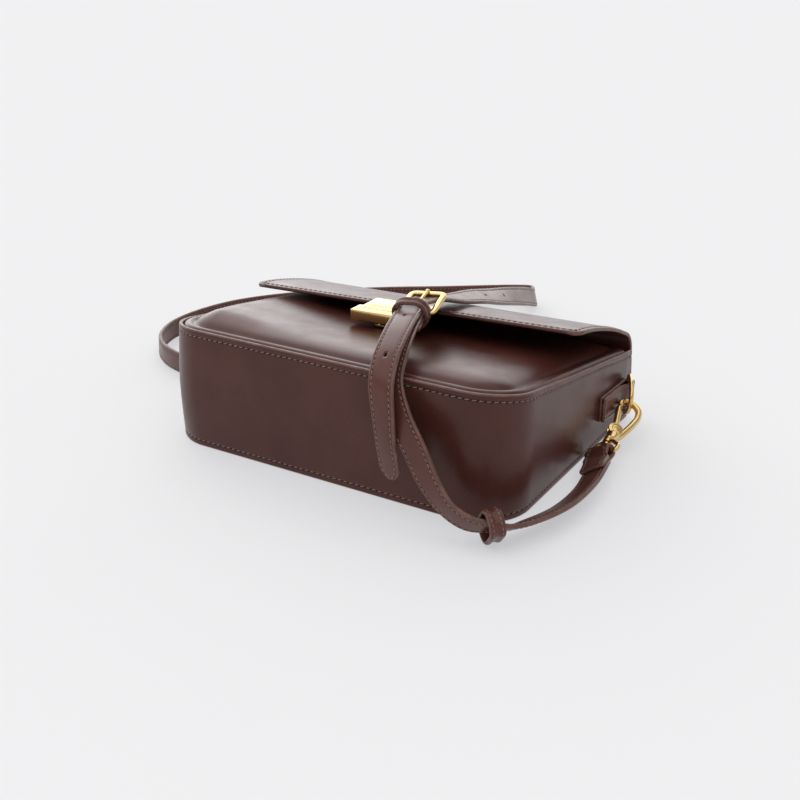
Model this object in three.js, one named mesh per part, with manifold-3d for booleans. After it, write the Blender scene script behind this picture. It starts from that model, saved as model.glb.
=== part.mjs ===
import * as THREE from 'three';
import { mergeVertices } from 'three/addons/utils/BufferGeometryUtils.js';
import Module from 'manifold-3d';

const wasm = await Module();
wasm.setup();

// A leather box bag lying on its back. Millimetres: +X across the bag, +Y from its
// bottom to its top, +Z up. The origin is the middle of the back panel, on the ground.

// Box
const WIDTH = 220;
const HEIGHT = 165;
const DEPTH_BOTTOM = 70;
const DEPTH_TOP = 43;
const CORNER_RADIUS = 28;
const TOP_CORNER_RADIUS = 5;
const WALL = 2.2;
const SEAM_GAP = 0.3;
const RIDGE_BEVEL = 0.6;
const PANEL_CROWN = 5.4;
const LEFT_LEAN = 4.4;
const LEFT_SWELL = 6;

// Flap
const FLAP_MARGIN = 2;
const FLAP_REACH = 79;
const FLAP_CLEARANCE = 16.8;
const FLAP_CORNER_RADIUS = 7;
const FLAP_TILT = 0.034;
const SPINE_BULGE = 1;

// Clasp
const CLASP_WIDTH = 46;
const CLASP_LIP_DEPTH = 10.5;
const CLASP_LIP_HEIGHT = 6.4;
const CLASP_TONGUE_WIDTH = 40;
const CLASP_TONGUE_OVERLAP = 4;
const CLASP_PLATE_THICKNESS = 1;
const CLASP_PLATE_BEVEL = 0.4;
const CLASP_LIP_RISE = 0.6;
const CLASP_OVERHANG = 20.5;
const CLASP_BEVEL = 1;
const CATCH_WIDTH = 20;
const CATCH_DEPTH = 7;
const CATCH_KNOB_RADIUS = 0.9;
const CATCH_KNOB_OFFSET = 4;
const CATCH_KNOB_LIFT = 1.44;
const CATCH_BEVEL = 0.3;

// Strap
const STRAP_WIDTH = 14.5;
const STRAP_THICKNESS = 2.4;
const STRAP_BEVEL = 0.6;
const STRAP_STEP = 9;
const STRAP_CLEARANCE = 0.3;
const STRAP_FOLD_LENGTH = 30;
const BUCKLE_FOLD_LENGTH = 24;

// Side tabs and rings
const TAB_WIDTH_FRONT = 14.5;
const TAB_WIDTH_RING = 16.5;
const TAB_LENGTH = 36;
const TAB_LAYER = 1.9;
const TAB_HEIGHT_SHARE = 0.303;
const RING_PLACE_SHARE = 0.83;
const RING_WIRE = 1.4;
const RING_HALF_LENGTH = 10.6;
const RING_DEPTH = 17.6;
const RING_TILT = 0.16;

// Snap hooks
const HOOK_WIRE = 1.9;
const HOOK_LENGTH = 47.5;
const HUB_PLACE = 20;
const HUB_RADIUS = 3.7;
const HUB_THICKNESS = 4.6;
const HUB_OFFSET = 0.4;
const GATE_RADIUS = 1.25;
const GATE_TIP_SHARE = 0.72;
const GATE_TIP_OFFSET = -4.1;
const GATE_EYE_THICKNESS = 1.7;
const GATE_EYE_RADIUS = 3.3;
const PIN_RADIUS = 1.2;
const METAL_GAP = 0.3;
const NECK_RADIUS = 1.2;
const NECK_END = 6.6;
const BOSS_PLACE = 9.6;
const BOSS_RADIUS = 2.7;
const BOSS_LENGTH = 2.4;
const EYE_WIRE = 1.3;
const EYE_TURN = 0.96;
const EYE_SIDE_ROOM = 1.6;
const SHOULDER_WIDTH = 10.4;
const SHOULDER_BEVEL = 0.8;
const SHOULDER_LEAD = 1.6;
const SHOULDER_OFFSET = 1.6;
const HOOK_END_OUT = 5.974;
const HOOK_END_BACK = 10.166;
const HOOK_END_DROP = 0.11;

// Buckle and keepers
const BUCKLE_WIDTH = 18.4;
const BUCKLE_LENGTH = 21;
const BUCKLE_WIRE = 1.4;
const BUCKLE_CORNER = 2.2;
const BUCKLE_AHEAD = 29.5;
const BUCKLE_LIFT = 10.3;
const PRONG_RADIUS = 1;
const PRONG_KNOB_RADIUS = 1.3;
const PRONG_END = 1;
const KEEPER_LENGTH = 7;
const KEEPER_THICKNESS = 1.7;
const KEEPER_CORNER = 3.6;
const SLIDE_KEEPER_LENGTH = 8.4;
const SLIDE_KEEPER_HEIGHT = 13;
const SLIDE_KEEPER_CORNER = 3;
const SLIDE_KEEPER_TURN = 0.36;

const HALF_WIDTH = WIDTH / 2;
const HALF_HEIGHT = HEIGHT / 2;
const STRAP_PITCH = STRAP_THICKNESS + STRAP_CLEARANCE;

const leather = new THREE.MeshStandardMaterial({ color: 0x5a3c37, roughness: 0.35, metalness: 0 });
const brass = new THREE.MeshStandardMaterial({ color: 0xd8b05a, roughness: 0.2, metalness: 1 });

const vec = (x, y, z) => new THREE.Vector3(x, y, z);

const along = (origin, ...steps) => {
  const point = origin.clone();
  for (const [direction, distance] of steps) point.addScaledVector(direction, distance);
  return point;
};

// The height of the box's front rim above the ground at a place along the bag
const rimHeight = (y) => DEPTH_BOTTOM + ((DEPTH_TOP - DEPTH_BOTTOM) * (y + HALF_HEIGHT)) / HEIGHT;

// The height of the flap's front edge, which stands clear of the box's rim
const FLAP_EDGE_Y = HALF_HEIGHT - FLAP_REACH;
const FLAP_HEIGHT = rimHeight(FLAP_EDGE_Y) + FLAP_CLEARANCE;

// The soft box leans a little: the front half of its left wall slopes inward, most at
// the bag's bottom
const settle = (point) => {
  const leftShare = Math.max(0, -point.x / HALF_WIDTH);
  const frontShare = Math.max(0, point.z / DEPTH_BOTTOM - 0.5);
  const lowShare = Math.max(0, 0.5 - point.y / HEIGHT);
  point.x += LEFT_LEAN * leftShare * frontShare * lowShare;
  return point;
};

// One closed body through a row of loops that all have as many points
const loft = (loops, { closed = false } = {}) => {
  const count = loops[0].length;
  const positions = loops.flat().flatMap((point) => [point.x, point.y, point.z]);
  const faces = [];
  const rows = closed ? loops.length : loops.length - 1;
  for (let row = 0; row < rows; row += 1) {
    const next = (row + 1) % loops.length;
    for (let i = 0; i < count; i += 1) {
      const j = (i + 1) % count;
      const corners = [row * count + i, row * count + j, next * count + j, next * count + i];
      faces.push(corners[0], corners[1], corners[2], corners[0], corners[2], corners[3]);
    }
  }
  if (!closed) {
    for (const [row, flip] of [[0, true], [loops.length - 1, false]]) {
      const centre = loops[row].reduce((sum, point) => sum.add(point), vec(0, 0, 0));
      centre.divideScalar(count);
      const middle = positions.length / 3;
      positions.push(centre.x, centre.y, centre.z);
      for (let i = 0; i < count; i += 1) {
        const a = row * count + i;
        const b = row * count + ((i + 1) % count);
        faces.push(middle, flip ? b : a, flip ? a : b);
      }
    }
  }
  const geometry = new THREE.BufferGeometry();
  geometry.setAttribute('position', new THREE.Float32BufferAttribute(positions, 3));
  geometry.setIndex(faces);
  return facingOut(geometry);
};

// Six times the volume that a closed mesh encloses, negative when it is inside out
const signedVolume = (geometry) => {
  const position = geometry.getAttribute('position');
  const index = geometry.getIndex();
  const corner = [vec(0, 0, 0), vec(0, 0, 0), vec(0, 0, 0)];
  let sum = 0;
  for (let i = 0; i < index.count; i += 3) {
    corner.forEach((point, k) => point.fromBufferAttribute(position, index.getX(i + k)));
    sum += corner[0].dot(corner[1].clone().cross(corner[2]));
  }
  return sum;
};

const facingOut = (geometry) => {
  if (signedVolume(geometry) >= 0) return geometry;
  const index = geometry.getIndex();
  for (let i = 0; i < index.count; i += 3) {
    const second = index.getX(i + 1);
    index.setX(i + 1, index.getX(i + 2));
    index.setX(i + 2, second);
  }
  return geometry;
};

const bare = (geometry) => {
  const copy = geometry.clone();
  copy.deleteAttribute('normal');
  copy.deleteAttribute('uv');
  return facingOut(mergeVertices(copy, 1e-4));
};

const toSolid = (geometry) => {
  const merged = bare(geometry);
  const vertProperties = new Float32Array(merged.getAttribute('position').array);
  const triVerts = new Uint32Array(merged.getIndex().array);
  return new wasm.Manifold(new wasm.Mesh({ numProp: 3, vertProperties, triVerts }));
};

const fromSolid = (solid) => {
  const mesh = solid.getMesh();
  const geometry = new THREE.BufferGeometry();
  geometry.setAttribute('position', new THREE.Float32BufferAttribute(mesh.vertProperties, 3));
  geometry.setIndex([...mesh.triVerts]);
  return geometry;
};

const joined = (...geometries) => geometries.map(toSolid).reduce((sum, solid) => sum.add(solid));

const turned = (geometry, right, up, out, origin) => {
  const basis = new THREE.Matrix4().makeBasis(right, up, out).setPosition(origin);
  return geometry.clone().applyMatrix4(basis);
};

// A block with bevelled upright edges and top, standing on its base
const bevelledBlock = (width, depth, height, bevel) => {
  const loop = (inset, z) => [
    [-1, -1, 1, 0], [1, -1, -1, 0], [1, -1, 0, 1], [1, 1, 0, -1],
    [1, 1, -1, 0], [-1, 1, 1, 0], [-1, 1, 0, -1], [-1, -1, 0, 1],
  ].map(([sx, sy, bx, by]) => vec(
    sx * (width / 2 - inset) + bx * bevel,
    sy * (depth / 2 - inset) + by * bevel,
    z,
  ));
  return loft([loop(0, 0), loop(0, height - bevel), loop(bevel, height)]);
};

// Points round the box's outline, inset from it: down the left side, along the
// bottom and up the right side, and then back along the top if it is closed
const outline = (inset, { closed = true, topInset = inset, z = 0 } = {}) => {
  const points = [];
  const halfX = HALF_WIDTH - inset;
  const halfY = HALF_HEIGHT - inset;
  const arc = (cx, cy, radius, from, to, steps) => {
    for (let i = 0; i <= steps; i += 1) {
      const angle = from + ((to - from) * i) / steps;
      points.push(vec(cx + radius * Math.cos(angle), cy + radius * Math.sin(angle), z));
    }
  };
  const straight = (x0, y0, x1, y1, steps) => {
    for (let i = 1; i < steps; i += 1) {
      const share = i / steps;
      points.push(vec(x0 + (x1 - x0) * share, y0 + (y1 - y0) * share, z));
    }
  };
  const bottomRadius = Math.max(CORNER_RADIUS - inset, 2);
  const topRadius = closed ? Math.max(TOP_CORNER_RADIUS - inset, 1) : 0;
  const top = HALF_HEIGHT - topInset;
  const sideTop = top - topRadius;
  const sideBottom = -halfY + bottomRadius;
  const bottomEnd = halfX - bottomRadius;
  const topEnd = halfX - topRadius;
  if (closed) arc(-topEnd, sideTop, topRadius, Math.PI / 2, Math.PI, 2);
  else points.push(vec(-halfX, HALF_HEIGHT, z));
  straight(-halfX, closed ? sideTop : HALF_HEIGHT, -halfX, sideBottom, 2);
  arc(-bottomEnd, sideBottom, bottomRadius, Math.PI, 1.5 * Math.PI, 7);
  straight(-bottomEnd, -halfY, bottomEnd, -halfY, 2);
  arc(bottomEnd, sideBottom, bottomRadius, 1.5 * Math.PI, 2 * Math.PI, 7);
  straight(halfX, sideBottom, halfX, closed ? sideTop : HALF_HEIGHT, 2);
  if (closed) {
    arc(topEnd, sideTop, topRadius, 0, Math.PI / 2, 2);
    straight(topEnd, top, -topEnd, top, 2);
  } else {
    points.push(vec(halfX, HALF_HEIGHT, z));
  }
  return points;
};

// The gusset: one strip of leather round both sides and the bottom, whose front and
// back edges stand as a ridge round the panels
const gusset = () => {
  const outer = outline(0, { closed: false });
  const inner = outline(WALL, { closed: false });
  const beveled = outline(RIDGE_BEVEL, { closed: false });
  const loops = outer.map((point, i) => {
    const top = rimHeight(point.y);
    const section = [
      [outer[i], RIDGE_BEVEL], [outer[i], top * 0.5], [outer[i], top - RIDGE_BEVEL],
      [beveled[i], top], [inner[i], top], [inner[i], 0], [beveled[i], 0],
    ];
    return section.map(([place, z]) => settle(vec(place.x, place.y, z)));
  });
  return loft(loops);
};

// The moulded front panel: a raised bead just inside the seam, a shallow groove and a
// domed field. Inset as a share of half the height, rise as a share of the crown.
const PANEL_RELIEF = [
  { inset: 0, rise: -0.34 },
  { inset: 0.016, rise: -0.12 },
  { inset: 0.036, rise: 0.1 },
  { inset: 0.058, rise: 0.02 },
  { inset: 0.08, rise: -0.06 },
  { inset: 0.15, rise: 0.34 },
  { inset: 0.28, rise: 0.68 },
  { inset: 0.48, rise: 0.92 },
  { inset: 0.72, rise: 1 },
  { inset: 0.93, rise: 1 },
];

const frontPanel = () => {
  const start = WALL + SEAM_GAP;
  const ring = ({ inset, rise }, drop) => {
    const points = outline(start + inset * (HALF_HEIGHT - start));
    return points.map((point) => {
      const leftShare = Math.max(0, -point.x / HALF_WIDTH);
      const crown = PANEL_CROWN + LEFT_SWELL * leftShare ** 2;
      point.z = rimHeight(point.y) + rise * crown - drop;
      return settle(point);
    });
  };
  const front = PANEL_RELIEF.map((row) => ring(row, 0));
  const inside = PANEL_RELIEF.map((row) => ring(row, WALL));
  return loft([...inside.reverse(), ...front]);
};

const backPanel = () => {
  const ring = (inset, z) => outline(WALL + SEAM_GAP + inset, { topInset: inset, z }).map(settle);
  return loft([ring(0, 0), ring(0, WALL)]);
};

// The flap's line from the back panel up the spine and forward over the front.
// Reach counts from the box's top toward the front edge as a share of the flap's
// reach, and height is a share of the front edge's height.
const FLAP_LINE = [
  { back: 0.008, height: 0.016 },
  { back: 0.037, height: 0.034 },
  { back: 0.06, height: 0.11 },
  { back: 0.069, height: 0.27 },
  { back: 0.069, height: 0.44 },
  { back: 0.052, height: 0.6 },
  { back: -0.006, height: 0.687 },
  { back: -0.114, height: 0.744 },
  { back: -0.272, height: 0.812 },
  { back: -0.43, height: 0.868 },
  { back: -0.69, height: 0.945 },
  { back: -0.88, height: 0.986 },
  { back: -1, height: 1 },
];

const flapCurve = new THREE.CatmullRomCurve3(
  FLAP_LINE.map(({ back, height }) => vec(0, HALF_HEIGHT + back * FLAP_REACH, height * FLAP_HEIGHT)),
  false,
  'centripetal',
);

const flap = () => {
  const steps = 26;
  const columns = 6;
  const length = flapCurve.getLength();
  const halfFull = HALF_WIDTH - FLAP_MARGIN;
  const loops = [];
  for (let i = 0; i <= steps; i += 1) {
    const share = i / steps;
    const shareEased = 1 - (1 - share) ** 1.25;
    const point = flapCurve.getPointAt(shareEased);
    const tangent = flapCurve.getTangentAt(shareEased);
    const normal = vec(0, tangent.z, -tangent.y);
    const fromEdge = (1 - shareEased) * length;
    const short = Math.max(0, FLAP_CORNER_RADIUS - fromEdge);
    const cut = FLAP_CORNER_RADIUS - Math.sqrt(FLAP_CORNER_RADIUS ** 2 - short ** 2);
    const half = halfFull - cut;
    const rise = Math.min(1, point.z / FLAP_HEIGHT) ** 2;
    const side = (direction) => {
      const row = [];
      for (let k = 0; k <= columns; k += 1) {
        const x = direction * half * ((2 * k) / columns - 1);
        const bulge = SPINE_BULGE * (1 - (x / halfFull) ** 2) * (1 - rise);
        const place = along(point, [normal, (direction * WALL) / 2]);
        row.push(vec(x, place.y + bulge, place.z + FLAP_TILT * x * rise));
      }
      return row;
    };
    loops.push([...side(1), ...side(-1)]);
  }
  return loft(loops);
};

// The clasp on the flap: a thin tongue over the leather and a deep bar beyond its edge
const CLASP_FRONT_Y = FLAP_EDGE_Y - CLASP_OVERHANG;
const CLASP_TONGUE_Z = FLAP_HEIGHT + WALL / 2 + METAL_GAP;
const CLASP_BAR_TOP = CLASP_TONGUE_Z + CLASP_LIP_RISE;

const claspPlate = () => {
  const tongueLength = CLASP_OVERHANG + CLASP_TONGUE_OVERLAP - CLASP_LIP_DEPTH / 2;
  const tongue = bevelledBlock(CLASP_TONGUE_WIDTH, tongueLength, CLASP_PLATE_THICKNESS, CLASP_PLATE_BEVEL);
  tongue.translate(0, FLAP_EDGE_Y + CLASP_TONGUE_OVERLAP - tongueLength / 2, 0);
  const bar = bevelledBlock(CLASP_WIDTH, CLASP_LIP_DEPTH, CLASP_LIP_HEIGHT, CLASP_BEVEL);
  bar.translate(0, CLASP_FRONT_Y + CLASP_LIP_DEPTH / 2, CLASP_LIP_RISE - CLASP_LIP_HEIGHT);
  const geometry = fromSolid(joined(tongue, bar)).rotateY(-FLAP_TILT);
  return geometry.translate(0, 0, CLASP_TONGUE_Z);
};

// The catch under it, on the front panel, with the small knob that shows below the bar
const claspCatch = () => {
  const y = CLASP_FRONT_Y + CLASP_LIP_DEPTH / 2;
  const base = rimHeight(y - CATCH_DEPTH / 2) + PANEL_CROWN + SEAM_GAP;
  const top = CLASP_BAR_TOP - CLASP_LIP_HEIGHT - METAL_GAP - (FLAP_TILT * CATCH_WIDTH) / 2;
  const plate = bevelledBlock(CATCH_WIDTH, CATCH_DEPTH, Math.max(top - base, 0.8), CATCH_BEVEL);
  plate.translate(0, y, base);
  const stem = new THREE.CylinderGeometry(CATCH_KNOB_RADIUS, CATCH_KNOB_RADIUS, CATCH_DEPTH, 10);
  stem.translate(-CATCH_KNOB_OFFSET, y - CATCH_DEPTH / 2, base + CATCH_KNOB_LIFT);
  return fromSolid(joined(plate, stem));
};

// Straps are flat ribbons. A station is a place on the ribbon's middle line with its
// width, forward and upward directions.
const station = (point, forward, widthHint) => {
  const ahead = forward.clone().normalize();
  const wide = along(widthHint, [ahead, -widthHint.dot(ahead)]).normalize();
  return { point, ahead, wide, up: wide.clone().cross(ahead) };
};

const stationsAlong = (route, step) => {
  const line = new THREE.CatmullRomCurve3(route.map((row) => row.point), false, 'centripetal');
  const turn = new THREE.CatmullRomCurve3(route.map((row) => row.wide), false, 'catmullrom');
  const count = Math.round(line.getLength() / step);
  const stations = [];
  for (let i = 0; i <= count; i += 1) {
    const t = line.getUtoTmapping(i / count);
    stations.push(station(line.getPoint(t), line.getTangent(t), turn.getPoint(t)));
  }
  return stations;
};

const stripSection = (width, thickness, bevel) => [
  [-width / 2, -thickness / 2 + bevel], [-width / 2 + bevel, -thickness / 2],
  [width / 2 - bevel, -thickness / 2], [width / 2, -thickness / 2 + bevel],
  [width / 2, thickness / 2 - bevel], [width / 2 - bevel, thickness / 2],
  [-width / 2 + bevel, thickness / 2], [-width / 2, thickness / 2 - bevel],
];

const strip = (stations, widthOf, thickness, { bevel = STRAP_BEVEL, closed = false } = {}) => {
  const loops = stations.map((place, i) => stripSection(widthOf(i), thickness, bevel).map(
    ([across, high]) => along(place.point, [place.wide, across], [place.up, high]),
  ));
  return loft(loops, { closed });
};

// The stations of a strap's end: its layer that lies back under the strap, and its
// turn round a bar. The stations start at the bar and run away from it.
const foldedEnd = (bar, barRadius, stations, foldLength) => {
  const radius = barRadius + STRAP_CLEARANCE + STRAP_THICKNESS / 2;
  const first = stations[0];
  const layer = [];
  let run = 0;
  for (let i = 0; i < stations.length && run < foldLength; i += 1) {
    if (i > 0) run += stations[i].point.distanceTo(stations[i - 1].point);
    const ease = Math.exp(-run / 6);
    const spacing = STRAP_PITCH + (2 * radius - STRAP_PITCH) * ease;
    const point = along(stations[i].point, [stations[i].up, -spacing]);
    layer.unshift(station(point, stations[i].ahead.clone().negate(), stations[i].wide));
  }
  const turn = [];
  const steps = 6;
  for (let i = 1; i < steps; i += 1) {
    const angle = (Math.PI * i) / steps;
    const outward = along(vec(0, 0, 0), [first.up, -Math.cos(angle)], [first.ahead, -Math.sin(angle)]);
    const forward = along(vec(0, 0, 0), [first.up, Math.sin(angle)], [first.ahead, -Math.cos(angle)]);
    turn.push(station(along(bar, [outward, radius]), forward, first.wide));
  }
  return [...layer, ...turn];
};

// The first two rows of a route that leaves a bar square to it
const STRAP_LEAD = 7;

const offBar = (bar, barRadius, towards, wide) => {
  const square = along(towards, [wide, -towards.dot(wide)]);
  const { ahead, up } = station(bar, square, wide);
  const start = along(bar, [up, barRadius + STRAP_CLEARANCE + STRAP_THICKNESS / 2]);
  return [{ point: start, wide }, { point: along(start, [ahead, STRAP_LEAD]), wide }];
};

// The right-hand ring's straight bar, in its tab
const RING_AXIS = vec(0, RING_TILT, Math.sqrt(1 - RING_TILT ** 2));
const TAB_TURN_RADIUS = RING_WIRE + METAL_GAP + TAB_LAYER / 2;
const TAB_INNER_X = HALF_WIDTH + SEAM_GAP + TAB_LAYER / 2;
const RING_BAR = vec(
  TAB_INNER_X + TAB_TURN_RADIUS,
  HALF_HEIGHT * RING_PLACE_SHARE,
  DEPTH_BOTTOM * TAB_HEIGHT_SHARE,
);

// The frame of the right-hand snap hook: from the strap's bar toward its far end, across
// it toward its solid arm, and out of its plane. The left-hand one is its mirror image.
// The hook hangs by its far end from the ring, so its bar lies its own length from there.
const HOOK_ALONG = vec(-0.028, 0.961, 0.285).normalize();
const HOOK_BAR = along(
  RING_BAR,
  [vec(1, 0, 0), HOOK_END_OUT],
  [vec(0, -1, 0), HOOK_END_BACK],
  [vec(0, 0, -1), HOOK_END_DROP],
  [HOOK_ALONG, -HOOK_LENGTH],
);
const HOOK_SIDE_HINT = vec(0.913, 0.136, -0.384);
const HOOK_OUT = HOOK_ALONG.clone().cross(HOOK_SIDE_HINT).negate().normalize();
const HOOK_SIDE = HOOK_ALONG.clone().cross(HOOK_OUT);
const EYE_SIDE = along(
  vec(0, 0, 0),
  [HOOK_SIDE, Math.cos(EYE_TURN)],
  [HOOK_OUT, Math.sin(EYE_TURN)],
);

const onHook = (ahead, side, out = 0) => along(
  HOOK_BAR,
  [HOOK_ALONG, ahead],
  [HOOK_SIDE, side],
  [HOOK_OUT, out],
);

const hub = onHook(HUB_PLACE, HUB_OFFSET);

const disc = (radius, thickness, sides, centre, axis) => {
  const shape = new THREE.CylinderGeometry(radius, radius, thickness, sides);
  const turn = new THREE.Quaternion().setFromUnitVectors(vec(0, 1, 0), axis);
  return shape.applyQuaternion(turn).translate(centre.x, centre.y, centre.z);
};

const rod = (points, radius, sides, steps) => {
  const curve = new THREE.CatmullRomCurve3(points, false, 'centripetal');
  const circle = new THREE.Shape();
  for (let i = 0; i < sides; i += 1) {
    const angle = (2 * Math.PI * i) / sides;
    const x = radius * Math.cos(angle);
    const y = radius * Math.sin(angle);
    if (i === 0) circle.moveTo(x, y);
    else circle.lineTo(x, y);
  }
  circle.closePath();
  return new THREE.ExtrudeGeometry(circle, { steps, extrudePath: curve, bevelEnabled: false });
};

const loopOfWire = (points, radius, sides, steps) => {
  const curve = new THREE.CatmullRomCurve3(points, true, 'centripetal');
  return new THREE.TubeGeometry(curve, steps, radius, sides, true);
};

// Places ahead of the hub count as shares of the rest of the hook's length
const aheadOfHub = (share) => HUB_PLACE + share * (HOOK_LENGTH - HUB_PLACE);

// The arm's root beside the hub, in millimetres ahead of it and to the side
const HOOK_ROOT = [
  { ahead: -3.6, side: 4.6 },
  { ahead: 2.8, side: 5.7 },
];

// The rest of the arm, as shares ahead of the hub and millimetres to the side
const HOOK_ARM = [
  { ahead: 0.387, side: 7.4 },
  { ahead: 0.655, side: 8.1 },
  { ahead: 0.845, side: 6.6 },
  { ahead: 0.945, side: 2.4 },
  { ahead: 0.927, side: -1.9 },
  { ahead: 0.836, side: -4 },
  { ahead: 0.753, side: -4.3 },
];

const hookBody = () => {
  const root = HOOK_ROOT.map(({ ahead, side }) => onHook(HUB_PLACE + ahead, side));
  const arm = rod(
    [...root, ...HOOK_ARM.map(({ ahead, side }) => onHook(aheadOfHub(ahead), side))],
    HOOK_WIRE,
    8,
    16,
  );
  const shoulderStart = BOSS_PLACE + BOSS_LENGTH / 2 + METAL_GAP;
  const shoulderEnd = HUB_PLACE - GATE_EYE_RADIUS - METAL_GAP;
  const shoulder = bevelledBlock(
    SHOULDER_WIDTH,
    HUB_THICKNESS,
    shoulderEnd - shoulderStart - SHOULDER_LEAD,
    SHOULDER_BEVEL,
  );
  const placed = turned(shoulder, HOOK_SIDE, HOOK_OUT, HOOK_ALONG, onHook(shoulderStart + SHOULDER_LEAD, SHOULDER_OFFSET));
  const cheeks = disc(HUB_RADIUS, HUB_THICKNESS, 16, hub, HOOK_OUT);
  const web = bevelledBlock(2 * HUB_RADIUS, HUB_THICKNESS, HUB_PLACE - shoulderEnd + 1, 0.01);
  const bridge = turned(web, HOOK_SIDE, HOOK_OUT, HOOK_ALONG, onHook(shoulderEnd - 0.5, HUB_OFFSET));
  const slot = new THREE.BoxGeometry(
    4 * GATE_EYE_RADIUS,
    GATE_EYE_THICKNESS + 2 * METAL_GAP,
    4 * GATE_EYE_RADIUS,
  );
  const slotCentre = onHook(shoulderEnd + 2 * GATE_EYE_RADIUS, HUB_OFFSET);
  const slotPlaced = turned(slot, HOOK_SIDE, HOOK_OUT, HOOK_ALONG, slotCentre);
  const pin = disc(PIN_RADIUS, HUB_THICKNESS - 0.4, 12, hub, HOOK_OUT);
  const neckProfile = [
    [0, NECK_END], [2.1, NECK_END], [2.1, NECK_END + 1.2], [NECK_RADIUS, NECK_END + 1.5],
    [NECK_RADIUS, shoulderStart], [2.5, shoulderStart], [2.5, shoulderStart + 2], [0, shoulderStart + 2],
  ];
  const lathe = new THREE.LatheGeometry(neckProfile.map(([r, h]) => new THREE.Vector2(r, h)), 10);
  const neck = turned(lathe, HOOK_SIDE, HOOK_ALONG, HOOK_OUT.clone().negate(), HOOK_BAR);
  const fork = joined(placed, cheeks, bridge).subtract(toSolid(slotPlaced));
  const eyeRoom = disc(
    GATE_EYE_RADIUS + METAL_GAP,
    GATE_EYE_THICKNESS + 2 * METAL_GAP,
    16,
    hub,
    HOOK_OUT,
  );
  const body = fork.add(toSolid(arm)).subtract(toSolid(eyeRoom));
  return fromSolid(body.add(toSolid(pin)).add(toSolid(neck)));
};

const gate = () => {
  const tip = onHook(aheadOfHub(GATE_TIP_SHARE), GATE_TIP_OFFSET);
  const toTip = tip.clone().sub(hub).normalize();
  const foot = along(hub, [toTip, GATE_EYE_RADIUS - 0.6]);
  const bar = rod([foot, along(foot, [toTip, 5]), tip], GATE_RADIUS, 8, 3);
  const eye = toSolid(disc(GATE_EYE_RADIUS, GATE_EYE_THICKNESS, 14, hub, HOOK_OUT));
  const bore = toSolid(disc(PIN_RADIUS + METAL_GAP, 2 * GATE_EYE_THICKNESS, 12, hub, HOOK_OUT));
  const clearing = HUB_RADIUS + METAL_GAP;
  const gateBar = toSolid(bar).subtract(toSolid(disc(clearing, 8, 14, hub, HOOK_OUT)));
  const neckBar = rod([foot, along(hub, [toTip, clearing + 1])], GATE_EYE_THICKNESS / 2, 8, 1);
  return fromSolid(gateBar.add(toSolid(neckBar)).add(eye.subtract(bore)));
};

// The eye that the strap is sewn round, and its boss, which turns on the hook's neck
const swivelEye = () => {
  const half = STRAP_WIDTH / 2 + EYE_SIDE_ROOM + EYE_WIRE;
  const corners = [
    [0, -half], [0, -half * 0.5], [0, half * 0.5], [0, half],
    [2.6, half + 0.3], [6, half * 0.72], [8.6, half * 0.42], [BOSS_PLACE, 0],
    [8.6, -half * 0.42], [6, -half * 0.72], [2.6, -half - 0.3],
  ];
  const points = corners.map(([ahead, side]) => along(
    HOOK_BAR,
    [HOOK_ALONG, ahead],
    [EYE_SIDE, side],
  ));
  const wire = toSolid(loopOfWire(points, EYE_WIRE, 6, 24));
  const boss = disc(BOSS_RADIUS, BOSS_LENGTH, 12, onHook(BOSS_PLACE, 0), HOOK_ALONG);
  const bore = disc(NECK_RADIUS + METAL_GAP, 3 * BOSS_LENGTH, 10, onHook(BOSS_PLACE, 0), HOOK_ALONG);
  return fromSolid(wire.add(toSolid(boss)).subtract(toSolid(bore)));
};

// The side tab: a strip of leather doubled round the ring's bar and sewn to the gusset
const RING_FORWARD = vec(0.45, -0.88, 0.147);
const RING_REACH = along(RING_FORWARD, [RING_AXIS, -RING_FORWARD.dot(RING_AXIS)]).normalize();

const sideTab = () => {
  const layerGap = TAB_LAYER + 0.15;
  const near = TAB_LENGTH * 0.3;
  const settledAt = TAB_LENGTH * 0.42;
  const x0 = TAB_INNER_X;
  const y0 = RING_BAR.y;
  const places = [
    [x0, y0 - TAB_LENGTH], [x0, y0 - settledAt], [x0, y0 - near], [x0, y0 - near / 2], [x0, y0],
  ];
  for (let i = 1; i < 6; i += 1) {
    const angle = (Math.PI * i) / 6;
    const swing = TAB_TURN_RADIUS * Math.sin(angle);
    places.push([RING_BAR.x - TAB_TURN_RADIUS * Math.cos(angle), y0 + swing]);
  }
  places.push(
    [x0 + 2 * TAB_TURN_RADIUS, y0],
    [x0 + 1.72 * TAB_TURN_RADIUS, y0 - near / 2],
    [x0 + layerGap + 0.5, y0 - near],
    [x0 + layerGap, y0 - settledAt],
    [x0 + layerGap, y0 - TAB_LENGTH],
  );
  const stations = places.map(([x, y], i) => {
    const before = places[Math.max(0, i - 1)];
    const after = places[Math.min(places.length - 1, i + 1)];
    const back = Math.max(0, RING_BAR.y - y) / TAB_LENGTH;
    const centreZ = RING_BAR.z + back * 2.2;
    const wide = vec(0, (1 - back) * RING_AXIS.y, 1).normalize();
    const forward = vec(after[0] - before[0], after[1] - before[1], 0);
    return { ...station(vec(x, y, centreZ), forward, wide), wide, back };
  });
  const widthOf = (i) => {
    const back = Math.min(1, stations[i].back);
    return TAB_WIDTH_RING + (TAB_WIDTH_FRONT - TAB_WIDTH_RING) * back;
  };
  return strip(stations, widthOf, TAB_LAYER, { bevel: 0.3 });
};

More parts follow.
